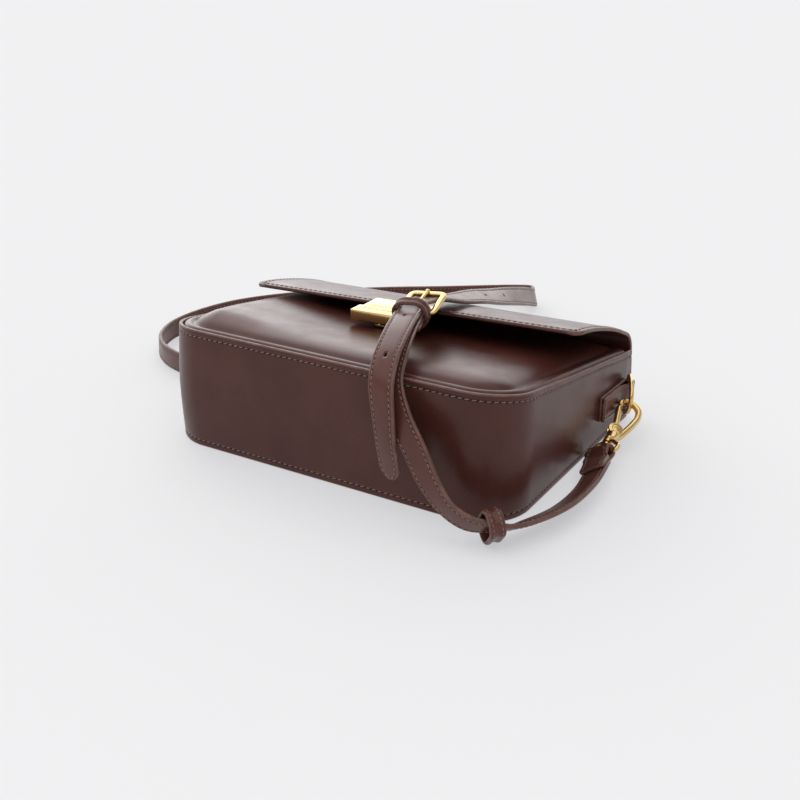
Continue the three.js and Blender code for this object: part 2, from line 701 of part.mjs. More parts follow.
const ring = () => {
  const points = [];
  const arcSteps = 10;
  for (let i = 0; i <= arcSteps; i += 1) {
    const angle = Math.PI * (i / arcSteps - 0.5);
    points.push(along(
      RING_BAR,
      [RING_REACH, RING_DEPTH * Math.cos(angle)],
      [RING_AXIS, RING_HALF_LENGTH * Math.sin(angle)],
    ));
  }
  for (const share of [0.8, 0, -0.8]) {
    points.push(along(RING_BAR, [RING_AXIS, RING_HALF_LENGTH * share]));
  }
  return loopOfWire(points, RING_WIRE, 6, 28);
};

// The buckle's frame: its near bar, which the short strap is sewn round, and the
// directions along the strap, across it and up out of it
const BUCKLE_BAR = vec(HALF_WIDTH * 0.236, FLAP_EDGE_Y - BUCKLE_AHEAD, FLAP_HEIGHT + BUCKLE_LIFT);
const BUCKLE_ALONG = vec(-0.2, 0.96, 0.19).normalize();
const BUCKLE_ACROSS_HINT = vec(1, 0.2, 0.06);
const buckleFrameOf = station(BUCKLE_BAR, BUCKLE_ALONG, BUCKLE_ACROSS_HINT);
const BUCKLE_ACROSS = buckleFrameOf.wide;
const BUCKLE_UP = buckleFrameOf.up;

const onBuckle = (ahead, side, high) => along(
  BUCKLE_BAR,
  [BUCKLE_ALONG, ahead],
  [BUCKLE_ACROSS, side],
  [BUCKLE_UP, high],
);

const buckleFrame = () => {
  const half = BUCKLE_WIDTH / 2;
  const corner = BUCKLE_CORNER;
  const places = [
    [0, -half + corner], [0, 0], [0, half - corner], [corner * 0.3, half - corner * 0.3],
    [corner, half], [BUCKLE_LENGTH / 2, half], [BUCKLE_LENGTH - corner, half],
    [BUCKLE_LENGTH - corner * 0.3, half - corner * 0.3], [BUCKLE_LENGTH, half - corner],
    [BUCKLE_LENGTH, 0], [BUCKLE_LENGTH, -half + corner],
    [BUCKLE_LENGTH - corner * 0.3, -half + corner * 0.3], [BUCKLE_LENGTH - corner, -half],
    [BUCKLE_LENGTH / 2, -half], [corner, -half], [corner * 0.3, -half + corner * 0.3],
  ];
  const points = places.map(([ahead, side]) => onBuckle(ahead, side, 0));
  return loopOfWire(points, BUCKLE_WIRE, 6, 36);
};

const prongLine = () => {
  const curl = BUCKLE_WIRE + METAL_GAP + PRONG_RADIUS;
  return [
    onBuckle(curl * 0.5, 0, curl * 0.87),
    onBuckle(BUCKLE_LENGTH * 0.3, 0, curl * 0.97),
    onBuckle(BUCKLE_LENGTH * 0.7, 0, curl * 1.02),
    onBuckle(BUCKLE_LENGTH, 0, curl),
    onBuckle(BUCKLE_LENGTH + PRONG_END, 0, curl * 0.95),
  ];
};

const buckleProng = () => {
  const curl = BUCKLE_WIRE + METAL_GAP + PRONG_RADIUS;
  const points = [];
  for (let i = 0; i < 10; i += 1) {
    const angle = (2 * Math.PI * i) / 10;
    points.push(onBuckle(curl * Math.cos(angle), 0, curl * Math.sin(angle)));
  }
  const curled = toSolid(loopOfWire(points, PRONG_RADIUS, 6, 14));
  const line = prongLine();
  const shaft = toSolid(rod(line, PRONG_RADIUS, 6, 6));
  const knob = new THREE.SphereGeometry(PRONG_KNOB_RADIUS, 8, 6);
  const end = line[line.length - 1];
  knob.translate(end.x, end.y, end.z);
  return fromSolid(curled.add(shaft).add(toSolid(knob)));
};

// The strap's routes. Across and along are shares of half the bag's width and height,
// depth is a share of the bag's depth, edge a share of the strap's width above that,
// and wide is the direction across the strap.
const place = ({ across, along: up, depth = 0, edge = 0, wide }) => ({
  point: vec(across * HALF_WIDTH, up * HALF_HEIGHT, depth * DEPTH_BOTTOM + edge * STRAP_WIDTH),
  wide: vec(...wide),
});

// The short part: from the right-hand hook along the ground, round the bag's corner and
// up over its bottom to the buckle
const SHORT_ROUTE = [
  { across: 1.147, along: -0.06, edge: 0.53, wide: [0.86, 0, 0.5] },
  { across: 1.178, along: -0.36, edge: 0.53, wide: [0.84, -0.08, 0.53] },
  { across: 1.165, along: -0.68, edge: 0.53, wide: [0.84, -0.2, 0.5] },
  { across: 1.107, along: -0.94, edge: 0.57, wide: [0.82, -0.32, 0.48] },
  { across: 1.05, along: -1.1, edge: 0.62, wide: [0.68, -0.45, 0.57] },
  { across: 0.98, along: -1.18, edge: 0.74, wide: [0.54, -0.46, 0.7] },
  { across: 0.9, along: -1.225, edge: 0.84, wide: [0.46, -0.42, 0.78] },
  { across: 0.8, along: -1.225, edge: 1.13, wide: [0.5, -0.34, 0.78] },
  { across: 0.7, along: -1.205, edge: 1.85, wide: [0.68, -0.12, 0.68] },
  { across: 0.61, along: -1.185, depth: 0.6, wide: [0.84, 0, 0.52] },
  { across: 0.52, along: -1.14, depth: 0.755, wide: [0.92, 0.06, 0.36] },
  { across: 0.43, along: -1.06, depth: 0.97, wide: [1, 0.1, 0.15] },
  { across: 0.395, along: -0.93, depth: 1.12, wide: [1, 0.12, 0.08] },
  { across: 0.325, along: -0.68, depth: 1.195, wide: [1, 0.15, 0.06] },
];

// The free end with its holes: out of the buckle, through the keeper and down in front
const TIP_ROUTE = [
  { across: 0.3, along: -0.62, depth: 1.25, wide: [1, 0.18, 0.06] },
  { across: 0.355, along: -0.85, depth: 1.21, wide: [1, 0.14, 0.08] },
  { across: 0.396, along: -1.04, depth: 1.12, wide: [1, 0.06, 0.1] },
  { across: 0.425, along: -1.145, depth: 0.99, wide: [1, -0.05, 0.08] },
  { across: 0.449, along: -1.18, depth: 0.82, wide: [1, -0.17, 0.03] },
  { across: 0.467, along: -1.185, depth: 0.58, wide: [1, -0.27, 0] },
  { across: 0.49, along: -1.17, depth: 0.31, wide: [1, -0.3, 0] },
];

// The long part: from the buckle back over the flap, down behind the bag, along the
// ground in a wide loop and back to the left-hand hook
const LONG_ROUTE = [
  { across: 0.163, along: 0.388, depth: 1.045, wide: [0.96, 0.19, -0.2] },
  { across: 0.094, along: 0.873, depth: 0.888, wide: [0.91, 0.05, -0.4] },
  { across: 0.025, along: 1.394, depth: 0.701, wide: [0.81, -0.02, -0.59] },
  { across: -0.041, along: 1.818, depth: 0.551, wide: [0.67, -0.08, -0.73] },
  { across: -0.134, along: 2.424, depth: 0.331, wide: [0.49, -0.16, -0.86] },
  { across: -0.24, along: 2.94, depth: 0.131, wide: [0.3, -0.12, -0.95] },
  { across: -0.3, along: 3.04, edge: 0.54, wide: [0.1, 0, -1] },
  { across: -0.4, along: 2.99, edge: 0.53, wide: [0, 0, -1] },
  { across: -0.84, along: 2.58, edge: 0.53, wide: [0, 0, -1] },
  { across: -1.2, along: 2.25, edge: 0.53, wide: [0, 0, -1] },
  { across: -1.6, along: 1.78, edge: 0.53, wide: [0, 0, -1] },
  { across: -1.9, along: 1.19, edge: 0.54, wide: [-0.06, 0, -1] },
  { across: -1.972, along: 0.6, edge: 0.54, wide: [-0.12, 0, -1] },
  { across: -1.88, along: 0.25, edge: 0.54, wide: [-0.06, -0.06, -1] },
  { across: -1.73, along: 0.06, edge: 0.54, wide: [0, 0, -1] },
  { across: -1.55, along: -0.05, edge: 0.57, wide: [0.1, 0, -1] },
  { across: -1.37, along: -0.1, edge: 0.61, wide: [0.4, -0.05, -0.9] },
  { across: -1.22, along: -0.06, edge: 0.68, wide: [0.7, 0, -0.65] },
];

const mirrored = (vector) => vec(-vector.x, vector.y, vector.z);

const shortStations = () => {
  const towards = place(SHORT_ROUTE[0]).point.sub(HOOK_BAR);
  const height = BUCKLE_WIRE + STRAP_CLEARANCE + STRAP_THICKNESS / 2;
  const route = [
    ...offBar(HOOK_BAR, EYE_WIRE, towards, EYE_SIDE),
    ...SHORT_ROUTE.map(place),
    { point: onBuckle(-STRAP_LEAD, 0, height), wide: BUCKLE_ACROSS },
    { point: onBuckle(0, 0, height), wide: BUCKLE_ACROSS },
  ];
  return stationsAlong(route, STRAP_STEP);
};

const reversed = (stations) => [...stations].reverse().map(
  ({ point, ahead, wide, up }) => ({ point, wide, up, ahead: ahead.clone().negate() }),
);

const shortStrap = () => {
  const main = shortStations();
  const hookEnd = foldedEnd(HOOK_BAR, EYE_WIRE, main, STRAP_FOLD_LENGTH);
  const buckleEnd = foldedEnd(BUCKLE_BAR, BUCKLE_WIRE, reversed(main), BUCKLE_FOLD_LENGTH);
  const tail = reversed(buckleEnd);
  const ribbon = strip([...hookEnd, ...main, ...tail], () => STRAP_WIDTH, STRAP_THICKNESS);
  const slotSize = 2 * (BUCKLE_WIRE + METAL_GAP + 2 * PRONG_RADIUS + METAL_GAP);
  const slot = new THREE.BoxGeometry(2 * (PRONG_RADIUS + METAL_GAP), slotSize, slotSize);
  const cut = turned(slot, BUCKLE_ACROSS, BUCKLE_ALONG, BUCKLE_UP, BUCKLE_BAR);
  return fromSolid(toSolid(ribbon).subtract(toSolid(cut)));
};

const longStrap = () => {
  const barTop = BUCKLE_WIRE + STRAP_CLEARANCE + STRAP_THICKNESS / 2;
  const hookBar = mirrored(HOOK_BAR);
  const hookWide = mirrored(EYE_SIDE).negate();
  const last = place(LONG_ROUTE[LONG_ROUTE.length - 1]).point;
  const hookEnd = offBar(hookBar, EYE_WIRE, last.sub(hookBar), hookWide.clone().negate());
  const route = [
    ...[...TIP_ROUTE].reverse().map(place),
    { point: onBuckle(-9, 0, barTop + STRAP_PITCH + 0.4), wide: BUCKLE_ACROSS },
    { point: onBuckle(0, 0, barTop + STRAP_PITCH), wide: BUCKLE_ACROSS },
    { point: onBuckle(BUCKLE_LENGTH * 0.5, 0, 1.5), wide: BUCKLE_ACROSS },
    { point: onBuckle(BUCKLE_LENGTH, 0, -barTop), wide: BUCKLE_ACROSS },
    ...LONG_ROUTE.map(place),
    ...hookEnd.reverse().map(({ point }) => ({ point, wide: hookWide })),
  ];
  const main = stationsAlong(route, STRAP_STEP);
  const back = foldedEnd(hookBar, EYE_WIRE, reversed(main), STRAP_FOLD_LENGTH);
  const tail = reversed(back);
  const tipShares = [0.3, 0.86];
  const widthOf = (i) => STRAP_WIDTH * (i < tipShares.length ? tipShares[i] : 1);
  const ribbon = strip([...main, ...tail], widthOf, STRAP_THICKNESS);
  const hole = rod(prongLine(), PRONG_RADIUS + METAL_GAP, 8, 8);
  return fromSolid(toSolid(ribbon).subtract(toSolid(hole)));
};

// A keeper is a band of leather closed round the strap's layers
const band = (centre, ahead, wideHint, { width, height, length, radius }) => {
  const frame = station(centre, ahead, wideHint);
  const stations = [];
  const corners = [[1, 1], [-1, 1], [-1, -1], [1, -1]];
  corners.forEach(([sx, sy], quarter) => {
    for (let i = 0; i <= 3; i += 1) {
      const angle = (Math.PI / 2) * (quarter + i / 3);
      const across = sx * (width / 2 - radius) + radius * Math.cos(angle);
      const high = sy * (height / 2 - radius) + radius * Math.sin(angle);
      stations.push({
        point: along(centre, [frame.wide, across], [frame.up, high]),
        wide: frame.ahead,
        up: along(vec(0, 0, 0), [frame.wide, Math.cos(angle)], [frame.up, Math.sin(angle)]),
      });
    }
  });
  return strip(stations, () => length, KEEPER_THICKNESS, { bevel: 0.3, closed: true });
};

const buckleKeeper = () => {
  const barTop = BUCKLE_WIRE + STRAP_CLEARANCE + STRAP_THICKNESS / 2;
  const topLayer = barTop + STRAP_PITCH;
  const bottomLayer = barTop - STRAP_PITCH - 0.6;
  const room = STRAP_THICKNESS / 2 + STRAP_CLEARANCE + KEEPER_THICKNESS / 2 + 0.5;
  const high = topLayer + room + 0.8;
  const low = bottomLayer - room;
  const centre = onBuckle(-BUCKLE_WIRE - 2.6 - KEEPER_LENGTH / 2, 0, (high + low) / 2);
  const width = STRAP_WIDTH + 2 * STRAP_CLEARANCE + KEEPER_THICKNESS + 1;
  const size = { width, height: high - low, length: KEEPER_LENGTH, radius: KEEPER_CORNER };
  return band(centre, BUCKLE_ALONG, BUCKLE_ACROSS, size);
};

const slideKeeper = () => {
  const stations = shortStations();
  const target = vec(0.98 * HALF_WIDTH, -1.18 * HALF_HEIGHT, 0.7 * STRAP_WIDTH);
  const distances = stations.map(({ point }) => point.distanceTo(target));
  const nearest = stations[distances.indexOf(Math.min(...distances))];
  const size = {
    width: STRAP_WIDTH + 2 * STRAP_CLEARANCE + KEEPER_THICKNESS + 1.6,
    height: SLIDE_KEEPER_HEIGHT,
    length: SLIDE_KEEPER_LENGTH,
    radius: SLIDE_KEEPER_CORNER,
  };
  const turned = along(
    vec(0, 0, 0),
    [nearest.ahead, Math.cos(SLIDE_KEEPER_TURN)],
    [nearest.up, Math.sin(SLIDE_KEEPER_TURN)],
  );
  const geometry = band(nearest.point, turned, nearest.wide, size);
  geometry.computeBoundingBox();
  return geometry.translate(0, 0, SEAM_GAP - geometry.boundingBox.min.z);
};

const bag = new THREE.Group();

const add = (name, geometry, material) => {
  const mesh = new THREE.Mesh(geometry, material);
  mesh.name = name;
  bag.add(mesh);
};

const mirror = (geometry) => facingOut(bare(geometry).scale(-1, 1, 1));

add('gusset', gusset(), leather);
add('front_panel', frontPanel(), leather);
add('back_panel', backPanel(), leather);
add('flap', flap(), leather);
add('clasp_plate', claspPlate(), brass);
add('clasp_catch', claspCatch(), brass);

const pairs = [
  ['side_tab', sideTab(), leather],
  ['ring', ring(), brass],
  ['snap_hook', hookBody(), brass],
  ['gate', gate(), brass],
  ['swivel_eye', swivelEye(), brass],
];
for (const [name, geometry, material] of pairs) {
  add(`${name}_right`, bare(geometry), material);
  add(`${name}_left`, mirror(geometry), material);
}

add('short_strap', shortStrap(), leather);
add('long_strap', longStrap(), leather);
add('buckle_frame', bare(buckleFrame()), brass);
add('buckle_prong', buckleProng(), brass);
add('buckle_keeper', buckleKeeper(), leather);
add('slide_keeper', slideKeeper(), leather);

export default bag;
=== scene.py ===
import math

import bmesh
import bpy
import numpy as np
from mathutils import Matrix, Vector


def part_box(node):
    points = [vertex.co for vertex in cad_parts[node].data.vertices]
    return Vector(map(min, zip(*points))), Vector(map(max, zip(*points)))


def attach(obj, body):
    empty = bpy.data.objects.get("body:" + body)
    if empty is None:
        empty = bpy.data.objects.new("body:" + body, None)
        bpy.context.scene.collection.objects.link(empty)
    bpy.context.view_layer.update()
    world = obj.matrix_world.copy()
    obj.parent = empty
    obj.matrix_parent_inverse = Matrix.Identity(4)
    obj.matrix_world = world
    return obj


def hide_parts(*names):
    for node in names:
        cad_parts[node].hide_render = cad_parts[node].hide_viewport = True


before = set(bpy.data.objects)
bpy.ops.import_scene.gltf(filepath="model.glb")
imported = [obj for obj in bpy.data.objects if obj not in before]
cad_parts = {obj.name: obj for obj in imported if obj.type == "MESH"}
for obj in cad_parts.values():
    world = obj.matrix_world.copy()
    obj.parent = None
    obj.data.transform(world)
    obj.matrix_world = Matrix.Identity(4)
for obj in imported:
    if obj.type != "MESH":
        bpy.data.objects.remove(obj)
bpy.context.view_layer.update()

# A leather box bag lying on its back. Sizes are millimetres in the part's frame and
# become metres where a mesh is made.
MM = 0.001

# How finely splines and wires are drawn
SPLINE_STEPS = 24
WIRE_STEP = 0.9

# The four corners of a section, as signs across and up
CORNERS = ((1, 1), (-1, 1), (-1, -1), (1, -1))

# Box
HALF_WIDTH = 110
HALF_HEIGHT = 82.5
DEPTH_BOTTOM = 70
DEPTH_TOP = 43
CORNER_RADIUS = 28
TOP_CORNER_RADIUS = 5
WALL = 2.2
SEAM_GAP = 0.3
LEFT_LEAN = 4.4
LEFT_SWELL = 8
SEWN_INSET = 3.6

# Flap and clasp
FLAP_HALF_WIDTH = 108
FLAP_REACH = 79
FLAP_HEIGHT = 72.7
FLAP_CORNER_RADIUS = 7
FLAP_TILT = 0.034
SPINE_BULGE = 1
FLAP_EDGE_Y = HALF_HEIGHT - FLAP_REACH
CLASP_WIDTH = 46
CLASP_LIP_DEPTH = 10.5
CLASP_LIP_HEIGHT = 6.4
CLASP_TONGUE_WIDTH = 40
CLASP_TONGUE_OVERLAP = 4
CLASP_PLATE_THICKNESS = 0.9
CLASP_OVERHANG = 20.5
CLASP_FRONT_Y = FLAP_EDGE_Y - CLASP_OVERHANG
CLASP_TONGUE_Z = FLAP_HEIGHT + WALL / 2 + 0.3
CLASP_BAR_TOP = 0.6
CATCH_SIZE = (18, 5, 1.2)

# Strap
STRAP_WIDTH = 14.5
STRAP_THICKNESS = 2.4
STRAP_STEP = 2.4
STRAP_CLEARANCE = 0.3
STRAP_PITCH = STRAP_THICKNESS + STRAP_CLEARANCE
STRAP_FOLD_LENGTH = 30
BUCKLE_FOLD_LENGTH = 24
STRAP_LEAD = 7
STRAP_TIP = 7.25
STRAP_TIP_STEP = 0.8
STRAP_SEWN = 2.1
STITCH_PITCH = 3
STITCH_RADIUS = 0.34
STITCH_SLANT = 0.16
HOLES_FROM_TIP = [65.5, 102, 206, 249, 296]
HOLE_SIZE = (1.9, 3.4, 6)

# Metal
RING_WIRE = 1.4
RING_HALF_LENGTH = 10.6
RING_DEPTH = 17.6
RING_TILT = 0.16
RING_PLACE_SHARE = 0.83
HOOK_LENGTH = 47.5
HOOK_BAR_OUT = 11.2
HOOK_BAR_SHARE = 0.155
HOOK_BAR_HEIGHT = 7.6
HOOK_WIRE = 1.9
HUB_PLACE = 20
HUB_RADIUS = 4.3
HUB_THICKNESS = 4.6
HUB_OFFSET = 0.4
GATE_RADIUS = 1.8
GATE_EYE_RADIUS = 3.2
GATE_TIP_AHEAD = 39.8
GATE_TIP_SIDE = -4.1
BOSS_PLACE = 9.6
EYE_WIRE = 1.3
EYE_TURN = 0.96
BUCKLE_WIDTH = 18.4
BUCKLE_LENGTH = 21
BUCKLE_WIRE = 1.4
BUCKLE_SHARE = 0.236
BUCKLE_AHEAD = 29.5
BUCKLE_LIFT = 10.3
PRONG_RADIUS = 1
KEEPER_LENGTH = 7
KEEPER_THICKNESS = 1.7
KEEPER_CORNER = 6.2
SLIDE_KEEPER_LENGTH = 8.4
SLIDE_KEEPER_HEIGHT = 13
SLIDE_KEEPER_TURN = 0.36
SLIDE_KEEPER_CORNER = 5.4

# Side tabs
TAB_WIDTH_FRONT = 14.5
TAB_WIDTH_RING = 16.5
TAB_LENGTH = 36
TAB_LAYER = 1.9
TAB_HEIGHT_SHARE = 0.303

# Camera and floor: places in metres, and the direction of view
CAMERA_PLACE = (0.31283, -0.51315, 0.27363)
CAMERA_TOWARDS = (-0.47878, 0.78499, -0.39314)
FLOOR_REACH = 30
FLOOR_LEVEL = -0.0002


def unit(vector):
    vector = np.asarray(vector, float)
    return vector / np.linalg.norm(vector, axis=-1, keepdims=True)


def square_to(vector, axis):
    """The part of a vector that is square to a unit axis, at unit length"""
    return unit(vector - (vector * axis).sum(-1, keepdims=True) * axis)


def dense(points, closed=False, uniform=False):
    """Many places on the spline through the points, which the solids follow too"""
    points = np.array(points, float)
    count = len(points)
    shares = np.linspace(0, 1, SPLINE_STEPS, endpoint=False)[:, None]
    spans = []
    for i in range(count if closed else count - 1):
        second, third = points[i], points[(i + 1) % count]
        first = points[i - 1] if closed or i > 0 else 2 * second - third
        fourth = points[(i + 2) % count] if closed or i + 2 < count else 2 * third - second
        if uniform:
            leave, arrive = (third - first) / 2, (fourth - second) / 2
        else:
            a, b, c = (
                max(np.linalg.norm(end - start), 1e-6) ** 0.5
                for start, end in ((first, second), (second, third), (third, fourth))
            )
            leave = b * ((second - first) / a - (third - first) / (a + b) + (third - second) / b)
            arrive = b * ((third - second) / b - (fourth - second) / (b + c) + (fourth - third) / c)
        spans.append(
            second
            + leave * shares
            + (3 * (third - second) - 2 * leave - arrive) * shares**2
            + (2 * (second - third) + leave + arrive) * shares**3
        )
    if not closed:
        spans.append(points[-1:])
    return np.concatenate(spans)


def evenly(line, step, *others):
    """The line's places an even step apart, and the other rows at the same places"""
    lengths = np.linalg.norm(np.diff(line, axis=0), axis=1)
    run = np.concatenate([[0], np.cumsum(lengths)])
    at = np.linspace(0, run[-1], max(1, round(run[-1] / step)) + 1)
    return [
        np.stack([np.interp(at, run, column) for column in rows.T], 1)
        for rows in (line, *others)
    ]


class Shape:
    """Points and faces gathered in millimetres, each face with its material's number"""

    def __init__(self):
        self.points = []
        self.faces = []
        self.zones = []

    def take(self, points, faces, zones):
        start = len(self.points)
        self.points.extend([float(x) for x in point] for point in points)
        self.faces.extend([start + i for i in face] for face in faces)
        self.zones.extend(zones)
        return self

    def loft(self, loops, closed=False, zones=None, cap_zone=0):
        rows, count = len(loops), len(loops[0])
        faces, marks = [], []
        for row in range(rows if closed else rows - 1):
            low, high = row * count, (row + 1) % rows * count
            for i in range(count):
                j = (i + 1) % count
                faces.append((low + i, low + j, high + j, high + i))
                marks.append(zones[i] if zones else 0)
        if not closed:
            faces.append(tuple(reversed(range(count))))
            faces.append(tuple((rows - 1) * count + i for i in range(count)))
            marks += [cap_zone, cap_zone]
        return self.take(np.concatenate(loops), faces, marks)

    def turned(self, origin, axis, profile, sides=20):
        """A round solid about an axis, from rows of radius and height"""
        axis = unit(axis)
        hint = np.eye(3)[np.argmin(abs(axis))]
        across = square_to(hint, axis)
        other = np.cross(axis, across)
        angles = np.linspace(0, 2 * math.pi, sides, endpoint=False)[:, None]
        circle = np.cos(angles) * across + np.sin(angles) * other
        return self.loft([origin + axis * height + circle * radius for radius, height in profile])

    def disc(self, centre, axis, radius, thickness, rounding):
        half = thickness / 2
        return self.turned(centre, axis, [
            (radius - rounding, -half),
            (radius - 0.3 * rounding, -half + 0.3 * rounding),
            (radius, -half + rounding),
            (radius, half - rounding),
            (radius - 0.3 * rounding, half - 0.3 * rounding),
            (radius - rounding, half),
        ], sides=24)

    def tube(self, points, hint, radius, closed=False, sides=14, flat=1):
        """A wire along the points. Flat is its width in the hint's direction as a share."""
        line = dense(points, closed)
        if closed:
            line = evenly(np.concatenate([line, line[:1]]), WIRE_STEP)[0][:-1]
            ahead = unit(np.roll(line, -1, 0) - np.roll(line, 1, 0))
        else:
            line = evenly(line, WIRE_STEP)[0]
            ahead = unit(np.gradient(line, axis=0))
        across = square_to(np.asarray(hint, float), ahead)
        other = np.cross(ahead, across)
        angles = np.linspace(0, 2 * math.pi, sides, endpoint=False)
        loops = []
        for i, point in enumerate(line):
            size = radius
            if not closed:
                from_end = min(i, len(line) - 1 - i) * WIRE_STEP / radius
                size *= math.sqrt(max(0.12, 1 - max(0, 1 - from_end) ** 2))
            loops.append([
                point + size * (flat * math.cos(a) * across[i] + math.sin(a) * other[i])
                for a in angles
            ])
        return self.loft(loops, closed)

    def block(self, origin, axes, size, bevel, corner=0.6):
        """A block with rounded edges that stands on its base's middle"""
        side, deep, up = (unit(axis) for axis in axes)
        width, depth, height = size
        loops = []
        for level, inset in (
            (0, bevel), (0.3 * bevel, 0.3 * bevel), (bevel, 0),
            (height - bevel, 0), (height - 0.3 * bevel, 0.3 * bevel), (height, bevel),
        ):
            loop = []
            for quarter, (sx, sy) in enumerate(CORNERS):
                for i in range(4):
                    angle = math.pi / 2 * (quarter + i / 3)
                    x = sx * (width / 2 - inset - corner) + corner * math.cos(angle)
                    y = sy * (depth / 2 - inset - corner) + corner * math.sin(angle)
                    loop.append(origin + side * x + deep * y + up * level)
            loops.append(loop)
        return self.loft(loops)

    def sew(self, line, normals, pitch=STITCH_PITCH, radius=STITCH_RADIUS):
        """Threads end to end along a line on a surface, each sunk at both ends"""
        line, normals = evenly(np.asarray(line), pitch, np.asarray(normals))
        angles = np.linspace(0, 2 * math.pi, 6, endpoint=False)
        for start, end, normal in zip(line[:-1], line[1:], normals[:-1]):
            normal = unit(normal)
            ahead = unit(end - start)
            side = np.cross(normal, ahead)
            ahead = unit(ahead + STITCH_SLANT * side)
            side = np.cross(normal, ahead)
            half = np.linalg.norm(end - start) * 0.4
            loops = []
            for place, share, lift in THREAD:
                centre = (start + end) / 2 + ahead * place * half + normal * lift * radius
                loops.append([
                    centre + radius * share * (math.cos(a) * side + math.sin(a) * normal)
                    for a in angles
                ])
            self.loft(loops)
        return self

    def build(self, name, slot, materials, replaced=None, body="bag", mirror=False, hard=False):
        points = np.array(self.points) * MM
        if mirror:
            points[:, 0] *= -1
        mesh = bpy.data.meshes.new(name)
        mesh.from_pydata(points.tolist(), [], self.faces)
        mesh.polygons.foreach_set("material_index", self.zones)
        for material in materials:
            mesh.materials.append(material)
        work = bmesh.new()
        work.from_mesh(mesh)
        bmesh.ops.recalc_face_normals(work, faces=work.faces)
        work.to_mesh(mesh)
        work.free()
        mesh.shade_smooth()
        if hard:
            mesh.set_sharp_from_angle(angle=math.radians(50))
        piece = bpy.data.objects.new(name, mesh)
        bpy.context.collection.objects.link(piece)
        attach(piece, body)
        if replaced:
            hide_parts(replaced)
        return piece


# One thread as shares: its place along, its thickness and its height over the leather
THREAD = [(-1, 0.3, -0.8), (-0.7, 0.9, 0.1), (0, 1, 0.4), (0.7, 0.9, 0.1), (1, 0.3, -0.8)]


# Materials

def node(tree, kind, inputs=(), **settings):
    made = tree.nodes.new(kind)
    for name, value in settings.items():
        setattr(made, name, value)
    for name, value in inputs:
        socket = made.inputs[name]
        if isinstance(value, bpy.types.NodeSocket):
            tree.links.new(value, socket)
        else:
            socket.default_value = value
    return made


def new_material(name):
    material = bpy.data.materials.new(name)
    material.use_nodes = True
    tree = material.node_tree
    place = node(tree, "ShaderNodeTexCoord").outputs["Object"]
    return material, tree, tree.nodes["Principled BSDF"], place


def noise(tree, place, scale, detail=3):
    made = node(tree, "ShaderNodeTexNoise", [
        ("Vector", place), ("Scale", scale), ("Detail", detail),
    ])
    return made.outputs["Fac"]


def spread(tree, value, low, high, to_low, to_high):
    made = node(tree, "ShaderNodeMapRange", [
        ("Value", value), ("From Min", low), ("From Max", high),
        ("To Min", to_low), ("To Max", to_high),
    ])
    return made.outputs["Result"]


def blend_colours(tree, share, first, second):
    inputs = [(0, share), (6, first), (7, second)]
    return node(tree, "ShaderNodeMix", inputs, data_type="RGBA").outputs[2]


def bumped(tree, height, strength, distance, below=None):
    inputs = [("Height", height), ("Strength", strength), ("Distance", distance)]
    if below:
        inputs.append(("Normal", below))
    return node(tree, "ShaderNodeBump", inputs).outputs["Normal"]


def leather_material(name, dark, light, roughness, coat, swell=0.3):
    """Smooth box calf: soft tone changes, fine pores and a slow swell in its gloss"""
    material, tree, shader, place = new_material(name)
    tone = spread(tree, noise(tree, place, 26), 0.35, 0.68, 0, 1)
    fine = spread(tree, noise(tree, place, 1400, 2), 0.3, 0.75, 0, 0.35)
    base = blend_colours(tree, tone, dark, light)
    darker = tuple(0.55 * channel for channel in dark[:3]) + (1,)
    tree.links.new(blend_colours(tree, fine, base, darker), shader.inputs["Base Color"])
    rough = spread(tree, noise(tree, place, 70), 0.3, 0.7, roughness - 0.05, roughness + 0.06)
    tree.links.new(rough, shader.inputs["Roughness"])
    pores = node(tree, "ShaderNodeTexVoronoi", [("Vector", place), ("Scale", 1300)])
    slow = bumped(tree, noise(tree, place, 38, 2), swell, 0.0012)
    grain = bumped(tree, pores.outputs["Distance"], 0.22, 0.00012, slow)
    fibre = bumped(tree, noise(tree, place, 2600, 2), 0.12, 0.0001, grain)
    tree.links.new(fibre, shader.inputs["Normal"])
    shader.inputs["Specular IOR Level"].default_value = 0.27
    shader.inputs["Specular Tint"].default_value = (1, 0.88, 0.87, 1)
    shader.inputs["Coat Weight"].default_value = coat
    shader.inputs["Coat Roughness"].default_value = 0.24
    return material


def painted_edge_material():
    """The painted cut edges: a little paler, with the paint's soft beads"""
    material, tree, shader, place = new_material("painted_edge")
    tone = spread(tree, noise(tree, place, 160), 0.3, 0.7, 0, 1)
    colour = blend_colours(tree, tone, (0.085, 0.034, 0.024, 1), (0.15, 0.064, 0.045, 1))
    tree.links.new(colour, shader.inputs["Base Color"])
    rough = spread(tree, noise(tree, place, 300), 0.3, 0.7, 0.36, 0.5)
    tree.links.new(rough, shader.inputs["Roughness"])
    tree.links.new(bumped(tree, noise(tree, place, 500), 0.3, 0.0002), shader.inputs["Normal"])
    return material


def thread_material():
    material, tree, shader, place = new_material("thread")
    tone = spread(tree, noise(tree, place, 800), 0.3, 0.7, 0, 1)
    colour = blend_colours(tree, tone, (0.11, 0.05, 0.038, 1), (0.25, 0.145, 0.115, 1))
    tree.links.new(colour, shader.inputs["Base Color"])
    tree.links.new(spread(tree, tone, 0, 1, 0.4, 0.6), shader.inputs["Roughness"])
    twist = node(tree, "ShaderNodeTexWave", [("Vector", place), ("Scale", 1100), ("Distortion", 3)])
    tree.links.new(bumped(tree, twist.outputs["Fac"], 0.4, 0.0001), shader.inputs["Normal"])
    shader.inputs["Sheen Weight"].default_value = 0.3
    return material


